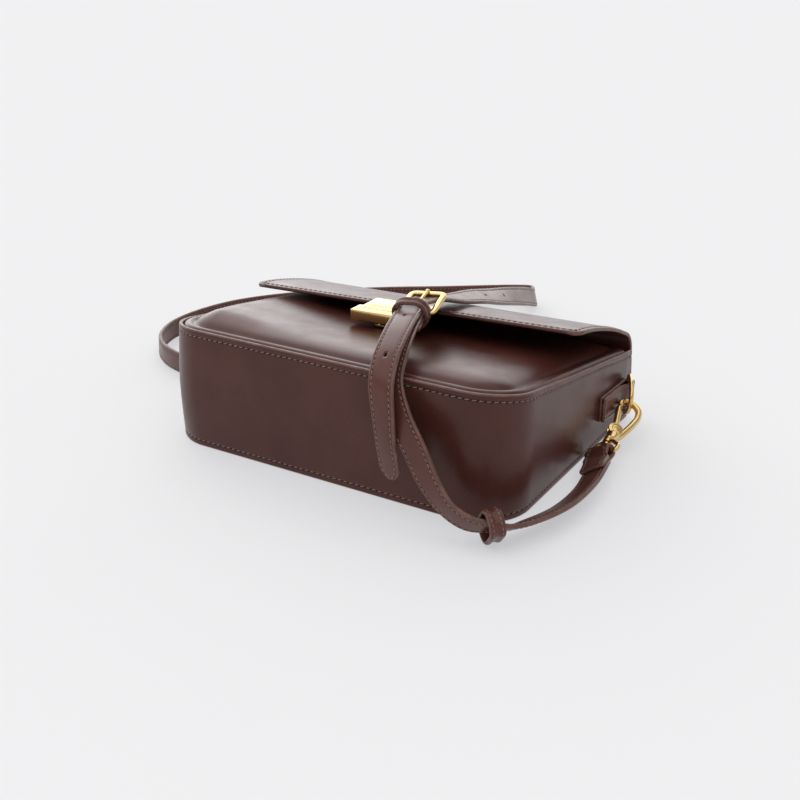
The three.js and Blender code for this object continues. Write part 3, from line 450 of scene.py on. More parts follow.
def brass_material():
    """Polished gold-coloured metal with fine rubbing marks"""
    material, tree, shader, place = new_material("polished_brass")
    tone = spread(tree, noise(tree, place, 90), 0.3, 0.7, 0, 1)
    colour = blend_colours(tree, tone, (0.66, 0.45, 0.17, 1), (0.73, 0.53, 0.25, 1))
    tree.links.new(colour, shader.inputs["Base Color"])
    rough = spread(tree, noise(tree, place, 420, 5), 0.3, 0.7, 0.11, 0.2)
    tree.links.new(rough, shader.inputs["Roughness"])
    rubbed = bumped(tree, noise(tree, place, 900, 4), 0.08, 0.0001)
    uneven = bumped(tree, noise(tree, place, 120, 2), 0.15, 0.0003, rubbed)
    tree.links.new(uneven, shader.inputs["Normal"])
    shader.inputs["Metallic"].default_value = 1
    return material


LEATHER = leather_material(
    "box_calf", (0.056, 0.0155, 0.011, 1), (0.08, 0.024, 0.0175, 1), 0.33, 0.1, 0.16,
)
# Painted light: the leather of the straps, keepers and side tabs is the box's leather made paler,
# standing in for the front light that falls on them
LIT_STRAP_LEATHER = leather_material(
    "strap_calf_painted_lit", (0.082, 0.0265, 0.019, 1), (0.112, 0.039, 0.029, 1), 0.3, 0.15,
)
EDGE = painted_edge_material()
THREADS = thread_material()
BRASS = brass_material()
# Painted shade: a near-black leather laid in the sewn grooves, standing in for the shade that falls
# between the stitches
PAINTED_GROOVE_SHADE = leather_material("painted_groove_shade", (0.012, 0.004, 0.003, 1), (0.02, 0.007, 0.005, 1), 0.6, 0)
SOFT = [LEATHER, EDGE, PAINTED_GROOVE_SHADE]
STRAPS = [LIT_STRAP_LEATHER, EDGE, PAINTED_GROOVE_SHADE]


# The box

def rim_height(y):
    return DEPTH_BOTTOM + (DEPTH_TOP - DEPTH_BOTTOM) * (y + HALF_HEIGHT) / (2 * HALF_HEIGHT)


def settled(points):
    """The front half of the left wall leans inward, most at the bag's bottom"""
    points = np.array(points, float)
    left = np.maximum(0, -points[:, 0] / HALF_WIDTH)
    front = np.maximum(0, points[:, 2] / DEPTH_BOTTOM - 0.5)
    low = np.maximum(0, 0.5 - points[:, 1] / (2 * HALF_HEIGHT))
    points[:, 0] += LEFT_LEAN * left * front * low
    return points


def outline(inset, closed=True):
    """Places round the box inset from its outline, as many for every inset"""
    half_x, half_y = HALF_WIDTH - inset, HALF_HEIGHT - inset
    bottom = max(CORNER_RADIUS - inset, 2)
    top = max(TOP_CORNER_RADIUS - inset, 1) if closed else 0
    end_y = half_y if closed else HALF_HEIGHT
    points = []

    def arc(cx, cy, radius, start, steps):
        for angle in np.linspace(start, start + math.pi / 2, steps + 1):
            points.append((cx + radius * math.cos(angle), cy + radius * math.sin(angle)))

    def straight(start, end, steps):
        for share in np.linspace(0, 1, steps + 1)[1:-1]:
            points.append(tuple(np.array(start) * (1 - share) + np.array(end) * share))

    if closed:
        arc(-half_x + top, end_y - top, top, math.pi / 2, 4)
    else:
        points.append((-half_x, end_y))
    straight((-half_x, end_y - top), (-half_x, -half_y + bottom), 16)
    arc(-half_x + bottom, -half_y + bottom, bottom, math.pi, 16)
    straight((-half_x + bottom, -half_y), (half_x - bottom, -half_y), 24)
    arc(half_x - bottom, -half_y + bottom, bottom, 1.5 * math.pi, 16)
    straight((half_x, -half_y + bottom), (half_x, end_y - top), 16)
    if closed:
        arc(half_x - top, end_y - top, top, 0, 4)
        straight((half_x - top, end_y), (-half_x + top, end_y), 24)
    else:
        points.append((half_x, end_y))
    return np.array(points)


# The gusset's back edge: how far in it lies, outward where negative, and how high. The
# front edge has the same rows, measured down from the rim.
GUSSET_EDGE = [
    (2.2, 0.7), (2, 0.2), (1.5, 0), (0.8, 0), (0.3, 0.2), (0.02, 0.75), (0, 2), (0.05, 3.1),
    (0.4, 3.6), (0.05, 4.1), (-0.1, 5.2),
]


def gusset():
    outlines = {inset: outline(inset, closed=False) for inset, _ in GUSSET_EDGE}
    swell = [outline(inset, closed=False) for inset in (-0.45, -0.75, -0.8, -0.7, -0.4)]
    edge_level = GUSSET_EDGE[-1][1]
    loops = []
    for i in range(len(swell[0])):
        back = [(*outlines[inset][i], level) for inset, level in GUSSET_EDGE]
        top = rim_height(outlines[0][i][1])
        middle = [
            (*places[i], edge_level + (top - 2 * edge_level) * share)
            for places, share in zip(swell, (0.14, 0.32, 0.5, 0.68, 0.86))
        ]
        front = [(*outlines[inset][i], top - level) for inset, level in reversed(GUSSET_EDGE)]
        loops.append(settled(back + middle + front))
    count = len(loops[0])
    zones = [1 if i < 5 or count - 7 < i < count - 1 else 0 for i in range(count)]
    # Painted shade: the rows in the sewn grooves take the near-black groove material
    for i in (7, 8, count - 9, count - 10):
        zones[i] = 2
    Shape().loft(loops, zones=zones, cap_zone=1).build("gusset_leather", "leather", SOFT, "gusset")
    threads = Shape()
    line = outline(0.3, closed=False)
    outward = outline(-10, closed=False) - line
    normals = np.column_stack([outward, np.zeros(len(line))])
    for levels in (np.full(len(line), SEWN_INSET), rim_height(line[:, 1]) - SEWN_INSET):
        threads.sew(settled(np.column_stack([line, levels])), normals, 3.6, 0.36)
    threads.build("gusset_stitching", "leather", [THREADS])


# The moulded panel from its seam inward: a bead, a groove and the dome, as inset and rise
PANEL_RELIEF = [
    (0, -2.4), (0.25, -1.3), (0.8, -0.4), (1.6, 0.35), (2.6, 0.8), (3.6, 0.9), (4.5, 0.72),
    (5.1, 0.4), (5.6, 0.05), (6, -0.1), (6.4, 0.05), (7, 0.45), (8, 1.15), (9.5, 2.05),
    (11.5, 2.85), (14, 3.55), (17, 4.15), (21, 4.7), (26, 5.05), (33, 5.25), (42, 5.35), (53, 5.4),
    (64, 5.4), (74, 5.4),
]
PANEL_CROWN = 5.4
DOME_FROM = 7
DOME_BLEND = 14
DOME_INSET = 6.5
DOME_SOFT_SIDE = 6.5
DOME_SOFT_END = 8


def dome_rise(points, inset, rise):
    """The row's own rise by the groove, and a dome with soft corners further in"""
    share = min(1, max(0, (inset - DOME_FROM) / DOME_BLEND))
    from_side = HALF_WIDTH - abs(points[:, 0]) - DOME_INSET
    from_end = HALF_HEIGHT - abs(points[:, 1]) - DOME_INSET
    across = 1 - np.exp(-from_side / DOME_SOFT_SIDE)
    along = 1 - np.exp(-from_end / DOME_SOFT_END)
    soft = across * along * PANEL_CROWN
    left = np.maximum(0, -points[:, 0] / HALF_WIDTH) ** 2
    swollen = 1 + LEFT_SWELL / PANEL_CROWN * left
    return rise * (1 - share) + soft * share * swollen


def front_panel():
    front, inside = [], []
    for inset, rise in PANEL_RELIEF:
        places = outline(WALL + SEAM_GAP + inset)
        heights = rim_height(places[:, 1]) + dome_rise(places, inset, rise)
        front.append(settled(np.column_stack([places, heights])))
        inside.append(settled(np.column_stack([places, heights - WALL])))
    Shape().loft(inside[::-1] + front).build(
        "front_panel_leather", "leather", SOFT, "front_panel",
    )


def back_panel():
    start = WALL + SEAM_GAP
    levels = [(9, WALL), (0.6, WALL), (0.15, WALL - 0.4), (0, 1.4), (0, 0.8), (0.2, 0.3), (0.8, 0)]
    levels += [(2.6, 0.05), (3.4, 0.3), (4.2, 0.05), (9, 0), (40, 0)]
    loops = []
    for inset, level in levels:
        places = outline(start + inset)
        loops.append(settled(np.column_stack([places, np.full(len(places), level)])))
    Shape().loft(loops).build("back_panel_leather", "leather", SOFT, "back_panel")
    line = outline(start + 3.4)
    line = np.column_stack([line, np.full(len(line), 0.28)])
    down = np.tile([0, 0, -1.0], (len(line), 1))
    Shape().sew(line, down, 3.6, 0.3).build("back_panel_stitching", "leather", [THREADS])


# The flap's line from the back panel up the spine and forward over the front: back from
# the box's top as a share of the reach, and height as a share of the front edge's
FLAP_LINE = [
    (0.008, 0.016), (0.037, 0.034), (0.06, 0.11), (0.069, 0.27), (0.069, 0.44), (0.052, 0.6),
    (-0.006, 0.687), (-0.114, 0.744), (-0.272, 0.812), (-0.43, 0.868), (-0.69, 0.945),
    (-0.88, 0.986), (-1, 1),
]
FLAP_CURVE = evenly(dense([
    (0, HALF_HEIGHT + back * FLAP_REACH, height * FLAP_HEIGHT) for back, height in FLAP_LINE
]), 0.4)[0]
FLAP_LENGTH = np.linalg.norm(np.diff(FLAP_CURVE, axis=0), axis=1).sum()
FLAP_AHEAD = unit(np.gradient(FLAP_CURVE, axis=0))
FLAP_RUN = np.linspace(FLAP_LENGTH, 0, len(FLAP_CURVE))


def flap_half(from_edge):
    short = max(0, FLAP_CORNER_RADIUS - from_edge)
    return FLAP_HALF_WIDTH - FLAP_CORNER_RADIUS + math.sqrt(FLAP_CORNER_RADIUS**2 - short**2)


def on_flap(x, from_edge, high):
    """A place on the flap and its normal there"""
    place, ahead = (
        np.array([np.interp(-from_edge, -FLAP_RUN, column) for column in rows.T])
        for rows in (FLAP_CURVE, FLAP_AHEAD)
    )
    normal = unit(np.array([0, ahead[2], -ahead[1]]))
    rise = min(1, place[2] / FLAP_HEIGHT) ** 2
    bulge = SPINE_BULGE * (1 - (x / FLAP_HALF_WIDTH) ** 2) * (1 - rise)
    place = place + normal * high
    return np.array([x, place[1] + bulge, place[2] + FLAP_TILT * x * rise]), normal


# The flap's edge: how far in it lies, and the share of half its thickness
FLAP_EDGE = [
    (0, 0), (0.12, 0.45), (0.45, 0.82), (1, 1), (2.4, 1), (3.2, 0.86), (3.6, 0.76), (4, 0.86),
    (4.8, 1),
]


def flap():
    near = [0, 0.12, 0.35, 0.7, 1.1, 1.7, 2.4, 3.2, 3.6, 4, 5, 6, 7, 8.5]
    rows = sorted(near + list(np.linspace(10, FLAP_LENGTH, 70)), reverse=True)
    half_wall = WALL / 2
    loops = []
    for from_edge in rows:
        half = flap_half(from_edge)
        thin = math.sqrt(max(0.02, 1 - max(0, 1 - from_edge / half_wall) ** 2))
        groove = 1 - 0.22 * math.exp(-((from_edge - SEWN_INSET) / 0.4) ** 2)
        side = [(half - inset, share) for inset, share in FLAP_EDGE]
        middle = [(x * (half - 6), 1) for x in np.linspace(1, -1, 25)]
        top = side + middle + [(-x, share) for x, share in reversed(side[1:])]
        under = [(x, -min(1, share * 1.3)) for x, share in side[1:4]]
        bottom = [(-half, 0)] + [(-x, share) for x, share in under]
        bottom += [(-x, -1) for x, _ in middle] + under[::-1]
        loops.append([
            on_flap(x, from_edge, half_wall * share * thin * (groove if share > 0 else 1))[0]
            for x, share in top + bottom
        ])
    count_top = 2 * len(FLAP_EDGE) - 1 + 25
    total = len(loops[0])
    zones = [0] * total
    for i in [0, 1, 2, *range(count_top - 4, count_top + 3), *range(total - 3, total)]:
        zones[i % total] = 1
    # Painted shade: the rows in the sewn groove take the near-black groove material
    for i in (5, 6, count_top - 7, count_top - 8):
        zones[i] = 2
    Shape().loft(loops, zones=zones, cap_zone=1).build("flap_leather", "leather", SOFT, "flap")
    side = [(SEWN_INSET - flap_half(d), d) for d in np.arange(FLAP_LENGTH - 6, 8, -2)]
    side += [(SEWN_INSET + 0.4 - flap_half(d + 1), d) for d in (7, 6, 5, 4.3)]
    front = [(x, SEWN_INSET) for x in np.linspace(-98, 98, 99)]
    line, normals = [], []
    for x, from_edge in side + front + [(-x, d) for x, d in reversed(side)]:
        place, normal = on_flap(x, from_edge, half_wall * 0.8)
        line.append(place)
        normals.append(normal)
    Shape().sew(line, normals, 3.6, 0.5).build("flap_stitching", "leather", [THREADS])


def clasp():
    side = np.array([math.cos(FLAP_TILT), 0, math.sin(FLAP_TILT)])
    up = np.array([-math.sin(FLAP_TILT), 0, math.cos(FLAP_TILT)])
    deep = np.array([0, 1, 0])
    axes = (side, deep, up)
    base = np.array([0, 0, CLASP_TONGUE_Z])
    length = CLASP_OVERHANG + CLASP_TONGUE_OVERLAP - CLASP_LIP_DEPTH / 2
    middle = FLAP_EDGE_Y + CLASP_TONGUE_OVERLAP - length / 2
    bar_y = CLASP_FRONT_Y + CLASP_LIP_DEPTH / 2
    bar_foot = CLASP_BAR_TOP - CLASP_LIP_HEIGHT
    metal = Shape()
    metal.block(
        base + deep * middle, axes,
        (CLASP_TONGUE_WIDTH, length, CLASP_PLATE_THICKNESS), 0.3, 0.8,
    )
    metal.block(
        base + deep * bar_y + up * bar_foot, axes,
        (CLASP_WIDTH, CLASP_LIP_DEPTH, CLASP_LIP_HEIGHT), 0.7, 0.9,
    )
    metal.block(
        base + deep * (middle + 1) + up * (CLASP_PLATE_THICKNESS - 0.1), axes,
        (CLASP_TONGUE_WIDTH - 7, length - 8, 0.35), 0.16, 1.2,
    )
    metal.build("clasp_metal", "brass", [BRASS], "clasp_plate", hard=True)
    catch_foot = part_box("clasp_catch")[0][2] / MM
    catch = Shape()
    catch.block(np.array([0, bar_y + 1.5, catch_foot + 0.2]), np.eye(3), CATCH_SIZE, 0.2)
    knob = np.array([-4, CLASP_FRONT_Y + 0.6, CLASP_TONGUE_Z + bar_foot - 1.1])
    catch.turned(knob, (0, 1, 0), [(0.5, 0), (0.85, 0.15), (0.95, 0.5), (0.9, 0.9), (0.8, 4)])
    catch.build("clasp_catch_metal", "brass", [BRASS], "clasp_catch", hard=True)


# Straps. A row of stations is an array of place, ahead, wide and up directions.

def station(point, forward, hint):
    ahead = unit(forward)
    wide = square_to(np.asarray(hint, float), ahead)
    return np.array([point, ahead, wide, np.cross(wide, ahead)])


def stations_along(route, step=STRAP_STEP):
    line = dense([point for point, _ in route])
    turn = dense([wide for _, wide in route], uniform=True)
    line, turn = evenly(line, step, turn)
    ahead = unit(np.gradient(line, axis=0))
    wide = square_to(turn, ahead)
    return np.stack([line, ahead, wide, np.cross(wide, ahead)], 1)


def turned_round(stations):
    back = stations[::-1].copy()
    back[:, 1] *= -1
    return back


def folded_end(bar, bar_radius, stations, fold_length):
    """A strap's end that lies back under it, and its turn round a bar"""
    radius = bar_radius + STRAP_CLEARANCE + STRAP_THICKNESS / 2
    _, ahead, wide, up = stations[0]
    layer, run = [], 0
    for i, (point, forward, across, high) in enumerate(stations):
        if i:
            run += np.linalg.norm(point - stations[i - 1][0])
        if run >= fold_length:
            break
        spacing = STRAP_PITCH + (2 * radius - STRAP_PITCH) * math.exp(-run / 6)
        layer.insert(0, station(point - high * spacing, -forward, across))
    turn = []
    for angle in np.linspace(0, math.pi, 9)[1:-1]:
        outward = -math.cos(angle) * up - math.sin(angle) * ahead
        forward = math.sin(angle) * up - math.cos(angle) * ahead
        turn.append(station(bar + outward * radius, forward, wide))
    return np.array(layer + turn)


def off_bar(bar, bar_radius, towards, wide):
    made = station(bar, towards - wide * np.dot(towards, wide), wide)
    start = bar + made[3] * (bar_radius + STRAP_CLEARANCE + STRAP_THICKNESS / 2)
    return [(start, wide), (start + made[1] * STRAP_LEAD, wide)]


# Half of the strap's upper side from its edge to its middle, as shares of its half
# width and half thickness: a round painted edge, the sewn groove and a soft pad
STRIP_SIDE = [
    (1, 0), (0.988, 0.5), (0.95, 0.85), (0.89, 1), (0.79, 1), (0.75, 0.86), (0.71, 0.76),
    (0.675, 0.9), (0.6, 1), (0.42, 1.06), (0.2, 1.09),
]


def strip_section():
    top = STRIP_SIDE + [(0, 1.1)] + [(-x, z) for x, z in reversed(STRIP_SIDE)]
    return top + [(x, -z) for x, z in reversed(top[1:-1])]


def ribbon(shape, stations, widths, thickness=STRAP_THICKNESS):
    section = strip_section()
    middles = [
        (abs(x) + abs(section[(i + 1) % len(section)][0])) / 2 for i, (x, _) in enumerate(section)
    ]
    # Painted shade: the faces in the sewn grooves take the near-black groove material, the edges
    # the painted edge
    zones = [1 if x > 0.915 else 2 if 0.67 < x < 0.75 else 0 for x in middles]
    loops = [
        [point + wide * x * width / 2 + up * z * thickness / 2 for x, z in section]
        for (point, _, wide, up), width in zip(stations, widths)
    ]
    return shape.loft(loops, zones=zones, cap_zone=1)


def sew_ribbon(shape, stations, widths, thickness=STRAP_THICKNESS, inset=STRAP_SEWN, faces=(1, -1)):
    for side in (-1, 1):
        for face in faces:
            keep = widths / 2 - inset > 0.6
            places = stations[keep]
            reach = (widths[keep] / 2 - inset)[:, None]
            outward = face * places[:, 3]
            line = places[:, 0] + side * reach * places[:, 2] + outward * thickness * 0.43
            shape.sew(line, outward)


# The frames of the right-hand hook and of the buckle, each from its strap's bar
HOOK_BAR = np.array([HALF_WIDTH + HOOK_BAR_OUT, HALF_HEIGHT * HOOK_BAR_SHARE, HOOK_BAR_HEIGHT])
HOOK_ALONG = unit([-0.028, 0.961, 0.285])
HOOK_OUT = unit(-np.cross(HOOK_ALONG, [0.913, 0.136, -0.384]))
HOOK_SIDE = np.cross(HOOK_ALONG, HOOK_OUT)
EYE_SIDE = HOOK_SIDE * math.cos(EYE_TURN) + HOOK_OUT * math.sin(EYE_TURN)
BUCKLE_BAR = np.array([
    HALF_WIDTH * BUCKLE_SHARE, FLAP_EDGE_Y - BUCKLE_AHEAD, FLAP_HEIGHT + BUCKLE_LIFT,
])
_, BUCKLE_ALONG, BUCKLE_ACROSS, BUCKLE_UP = station(BUCKLE_BAR, [-0.2, 0.96, 0.19], [1, 0.2, 0.06])


def on_hook(ahead, side, out=0):
    return HOOK_BAR + HOOK_ALONG * ahead + HOOK_SIDE * side + HOOK_OUT * out


def on_buckle(ahead, side, high):
    return BUCKLE_BAR + BUCKLE_ALONG * ahead + BUCKLE_ACROSS * side + BUCKLE_UP * high


# The strap's routes: shares of half the bag's width, half its height, its depth and the
# strap's width above that, and the direction across the strap
SHORT_ROUTE = [
    (1.147, -0.06, 0, 0.53, (0.86, 0, 0.5)),
    (1.178, -0.36, 0, 0.53, (0.84, -0.08, 0.53)),
    (1.165, -0.68, 0, 0.53, (0.84, -0.2, 0.5)),
    (1.107, -0.94, 0, 0.57, (0.82, -0.32, 0.48)),
    (1.05, -1.1, 0, 0.62, (0.68, -0.45, 0.57)),
    (0.98, -1.18, 0, 0.74, (0.54, -0.46, 0.7)),
    (0.9, -1.225, 0, 0.84, (0.46, -0.42, 0.78)),
    (0.8, -1.225, 0, 1.13, (0.5, -0.34, 0.78)),
    (0.7, -1.205, 0, 1.85, (0.68, -0.12, 0.68)),
    (0.61, -1.185, 0.6, 0, (0.84, 0, 0.52)),
    (0.52, -1.14, 0.755, 0, (0.92, 0.06, 0.36)),
    (0.43, -1.06, 0.97, 0, (1, 0.1, 0.15)),
    (0.395, -0.93, 1.12, 0, (1, 0.12, 0.08)),
    (0.325, -0.68, 1.195, 0, (1, 0.15, 0.06)),
]
TIP_ROUTE = [
    (0.3, -0.62, 1.25, 0, (1, 0.18, 0.06)),
    (0.355, -0.85, 1.21, 0, (1, 0.14, 0.08)),
    (0.396, -1.04, 1.12, 0, (1, 0.06, 0.1)),
    (0.425, -1.145, 0.99, 0, (1, -0.05, 0.08)),
    (0.449, -1.18, 0.82, 0, (1, -0.17, 0.03)),
    (0.467, -1.185, 0.58, 0, (1, -0.27, 0)),
    (0.49, -1.17, 0.31, 0, (1, -0.3, 0)),
]
LONG_ROUTE = [
    (0.163, 0.388, 1.045, 0, (0.96, 0.19, -0.2)),
    (0.094, 0.873, 0.888, 0, (0.91, 0.05, -0.4)),
    (0.025, 1.394, 0.701, 0, (0.81, -0.02, -0.59)),
    (-0.041, 1.818, 0.551, 0, (0.67, -0.08, -0.73)),
    (-0.134, 2.424, 0.331, 0, (0.49, -0.16, -0.86)),
    (-0.24, 2.94, 0.131, 0, (0.3, -0.12, -0.95)),
    (-0.3, 3.04, 0, 0.54, (0.1, 0, -1)),
    (-0.4, 2.99, 0, 0.53, (0, 0, -1)),
    (-0.84, 2.58, 0, 0.53, (0, 0, -1)),
    (-1.2, 2.25, 0, 0.53, (0, 0, -1)),
    (-1.6, 1.78, 0, 0.53, (0, 0, -1)),
    (-1.9, 1.19, 0, 0.54, (-0.06, 0, -1)),
    (-1.972, 0.6, 0, 0.54, (-0.12, 0, -1)),
    (-1.88, 0.25, 0, 0.54, (-0.06, -0.06, -1)),
    (-1.73, 0.06, 0, 0.54, (0, 0, -1)),
    (-1.55, -0.05, 0, 0.57, (0.1, 0, -1)),
    (-1.37, -0.1, 0, 0.61, (0.4, -0.05, -0.9)),
    (-1.22, -0.06, 0, 0.68, (0.7, 0, -0.65)),
]


def placed(route):
    return [
        (
            np.array([x * HALF_WIDTH, y * HALF_HEIGHT, depth * DEPTH_BOTTOM + edge * STRAP_WIDTH]),
            np.array(wide, float),
        )
        for x, y, depth, edge, wide in route
    ]


def short_stations():
    route = placed(SHORT_ROUTE)
    height = BUCKLE_WIRE + STRAP_CLEARANCE + STRAP_THICKNESS / 2
    lead = off_bar(HOOK_BAR, EYE_WIRE, route[0][0] - HOOK_BAR, EYE_SIDE)
    end = [(on_buckle(ahead, 0, height), BUCKLE_ACROSS) for ahead in (-STRAP_LEAD, 0)]
    return stations_along(lead + route + end)


def short_strap():
    main = short_stations()
    hook_end = folded_end(HOOK_BAR, EYE_WIRE, main, STRAP_FOLD_LENGTH)
    buckle_end = folded_end(BUCKLE_BAR, BUCKLE_WIRE, turned_round(main), BUCKLE_FOLD_LENGTH)
    stations = np.concatenate([hook_end, main, turned_round(buckle_end)])
    widths = np.full(len(stations), STRAP_WIDTH)
    ribbon(Shape(), stations, widths).build(
        "short_strap_leather", "leather", STRAPS, "short_strap",
    )
    threads = Shape()
    sew_ribbon(threads, stations, widths)
    threads.build("short_strap_stitching", "leather", [THREADS])


def cut(piece, shape):
    """Takes a shape out of a piece; the cut faces get the painted edge's material"""
    tool = shape.build("cutter", "leather", [EDGE])
    change = piece.modifiers.new("holes", "BOOLEAN")
    change.operation = "DIFFERENCE"
    change.solver = "EXACT"
    change.material_mode = "TRANSFER"
    change.object = tool
    view = bpy.context.evaluated_depsgraph_get()
    made = bpy.data.meshes.new_from_object(piece.evaluated_get(view), depsgraph=view)
    piece.modifiers.clear()
    piece.data = made
    bpy.data.objects.remove(tool)


def long_strap():
    bar_top = BUCKLE_WIRE + STRAP_CLEARANCE + STRAP_THICKNESS / 2
    hook_bar = HOOK_BAR * [-1, 1, 1]
    hook_wide = EYE_SIDE * [1, -1, -1]
    rows = placed(LONG_ROUTE)
    hook_end = off_bar(hook_bar, EYE_WIRE, rows[-1][0] - hook_bar, -hook_wide)
    route = placed(TIP_ROUTE)[::-1] + [
        (on_buckle(-9, 0, bar_top + STRAP_PITCH + 0.4), BUCKLE_ACROSS),
        (on_buckle(0, 0, bar_top + STRAP_PITCH), BUCKLE_ACROSS),
        (on_buckle(BUCKLE_LENGTH * 0.5, 0, 1.5), BUCKLE_ACROSS),
        (on_buckle(BUCKLE_LENGTH, 0, -bar_top), BUCKLE_ACROSS),
    ] + rows + [(point, hook_wide) for point, _ in reversed(hook_end)]
    # The tip's first four steps are drawn three times as finely
    tip = stations_along(route, STRAP_TIP_STEP)[:12]
    main = np.concatenate([tip, stations_along(route)[4:]])
    back = folded_end(hook_bar, EYE_WIRE, turned_round(main), STRAP_FOLD_LENGTH)
    stations = np.concatenate([main, turned_round(back)])
    steps = np.linalg.norm(np.diff(stations[:, 0], axis=0), axis=1)
    run = np.concatenate([[0], np.cumsum(steps)])
    from_tip = np.clip(run / STRAP_TIP, 0, 1)
    widths = STRAP_WIDTH * np.maximum(0.3, np.sqrt(1 - (1 - from_tip) ** 2))
    strap = ribbon(Shape(), stations, widths).build(
        "long_strap_leather", "leather", STRAPS, "long_strap",
    )
    cutters = Shape()
    for distance in HOLES_FROM_TIP:
        i = int(np.argmin(abs(run - distance)))
        point, ahead, wide, up = stations[i]
        cutters.block(point - up * HOLE_SIZE[2] / 2, (wide, ahead, up), HOLE_SIZE, 0.1, 0.9)
    cut(strap, cutters)
    threads = Shape()
    sew_ribbon(threads, stations, widths)
    threads.build("long_strap_stitching", "leather", [THREADS])


# A keeper's outer side across its length, as shares: two soft ridges with a dip between
KEEPER_SIDE = [(1, 0), (0.97, 0.6), (0.86, 1.1), (0.66, 1.35), (0.45, 1.2), (0.22, 0.6), (0, 0.5)]


def keeper(name, replaced, centre, ahead, hint, size):
    """A band of leather closed round the strap's layers"""
    width, height, length, corner = size
    _, ahead, wide, up = station(centre, ahead, hint)
    loops, rows = [], []
    for quarter, (sx, sy) in enumerate(CORNERS):
        for i in range(9):
            angle = math.pi / 2 * (quarter + i / 8)
            out = wide * math.cos(angle) + up * math.sin(angle)
            place = centre + wide * sx * (width / 2 - corner) + up * sy * (height / 2 - corner)
            rows.append((place + out * corner, out))
    half = KEEPER_THICKNESS / 2
    top = KEEPER_SIDE + [(-x, z) for x, z in reversed(KEEPER_SIDE[:-1])]
    section = top + [(-0.97, -0.6), (-0.8, -1), (0.8, -1), (0.97, -0.6)]
    for place, out in rows:
        loops.append([place + ahead * x * length / 2 + out * z * half for x, z in section])
    zones = [1 if abs(x) > 0.9 else 0 for x, _ in section]
    Shape().loft(loops, closed=True, zones=zones).build(name, "leather", STRAPS, replaced)
    threads = Shape()
    closed = rows + rows[:1]
    for share in (-0.55, 0.55):
        line = [place + ahead * share * length / 2 + out * half * 1.1 for place, out in closed]
        threads.sew(line, [out for _, out in closed], 2.6, 0.32)
    threads.build(name.replace("leather", "stitching"), "leather", [THREADS])


def keepers():
    bar_top = BUCKLE_WIRE + STRAP_CLEARANCE + STRAP_THICKNESS / 2
    room = STRAP_THICKNESS / 2 + STRAP_CLEARANCE + KEEPER_THICKNESS / 2 + 0.5
    high = bar_top + STRAP_PITCH + room + 2.2
    low = bar_top - STRAP_PITCH - 1.2 - room
    centre = on_buckle(-BUCKLE_WIRE - 2.6 - KEEPER_LENGTH / 2, 0, (high + low) / 2)
    width = STRAP_WIDTH + 2 * STRAP_CLEARANCE + KEEPER_THICKNESS
    keeper(
        "buckle_keeper_leather", "buckle_keeper", centre, BUCKLE_ALONG, BUCKLE_ACROSS,
        (width + 1, high - low, KEEPER_LENGTH, KEEPER_CORNER),
    )
    stations = short_stations()
    target = np.array([0.98 * HALF_WIDTH, -1.18 * HALF_HEIGHT, 0.7 * STRAP_WIDTH])
    nearest = stations[np.argmin(np.linalg.norm(stations[:, 0] - target, axis=1))]
    low, high = (np.array(corner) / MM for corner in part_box("slide_keeper"))
    _, ahead, wide, up = nearest
    axis = ahead * math.cos(SLIDE_KEEPER_TURN) + up * math.sin(SLIDE_KEEPER_TURN)
    keeper(
        "slide_keeper_leather", "slide_keeper", (low + high) / 2, axis, wide,
        (width + 1.6, SLIDE_KEEPER_HEIGHT, SLIDE_KEEPER_LENGTH, SLIDE_KEEPER_CORNER),
    )


# Side tabs, rings, snap hooks and eyes, made for the right and mirrored for the left
RING_AXIS = np.array([0, RING_TILT, math.sqrt(1 - RING_TILT**2)])
TAB_TURN = RING_WIRE + 0.3 + TAB_LAYER / 2
TAB_X = HALF_WIDTH + SEAM_GAP + TAB_LAYER / 2
RING_BAR = np.array([
    TAB_X + TAB_TURN, HALF_HEIGHT * RING_PLACE_SHARE, DEPTH_BOTTOM * TAB_HEIGHT_SHARE,
])
RING_REACH = square_to(np.array([0.45, -0.88, 0.147]), RING_AXIS)


def side_tab_stations():
    gap = TAB_LAYER + 0.15
    near, settled_at = TAB_LENGTH * 0.3, TAB_LENGTH * 0.42
    x0, y0 = TAB_X, RING_BAR[1]
    places = [
        (x0, y0 - TAB_LENGTH), (x0, y0 - settled_at), (x0, y0 - near), (x0, y0 - near / 2),
        (x0, y0),
    ]
    for angle in np.linspace(0, math.pi, 7)[1:-1]:
        places.append((RING_BAR[0] - TAB_TURN * math.cos(angle), y0 + TAB_TURN * math.sin(angle)))
    places += [
        (x0 + 2 * TAB_TURN, y0), (x0 + 1.72 * TAB_TURN, y0 - near / 2),
        (x0 + gap + 0.5, y0 - near), (x0 + gap, y0 - settled_at), (x0 + gap, y0 - TAB_LENGTH),
    ]
    line = evenly(dense([(x, y, 0) for x, y in places]), 1.2)[0]
    ahead = unit(np.gradient(line, axis=0))
    stations, widths = [], []
    for point, forward in zip(line, ahead):
        back = min(1, max(0, RING_BAR[1] - point[1]) / TAB_LENGTH)
        centre = np.array([point[0], point[1], RING_BAR[2] + back * 2.2])
        wide = unit([0, (1 - back) * RING_AXIS[1], 1])
        stations.append([centre, forward, wide, np.cross(wide, forward)])
        widths.append(TAB_WIDTH_RING + (TAB_WIDTH_FRONT - TAB_WIDTH_RING) * back)
    return np.array(stations), np.array(widths)


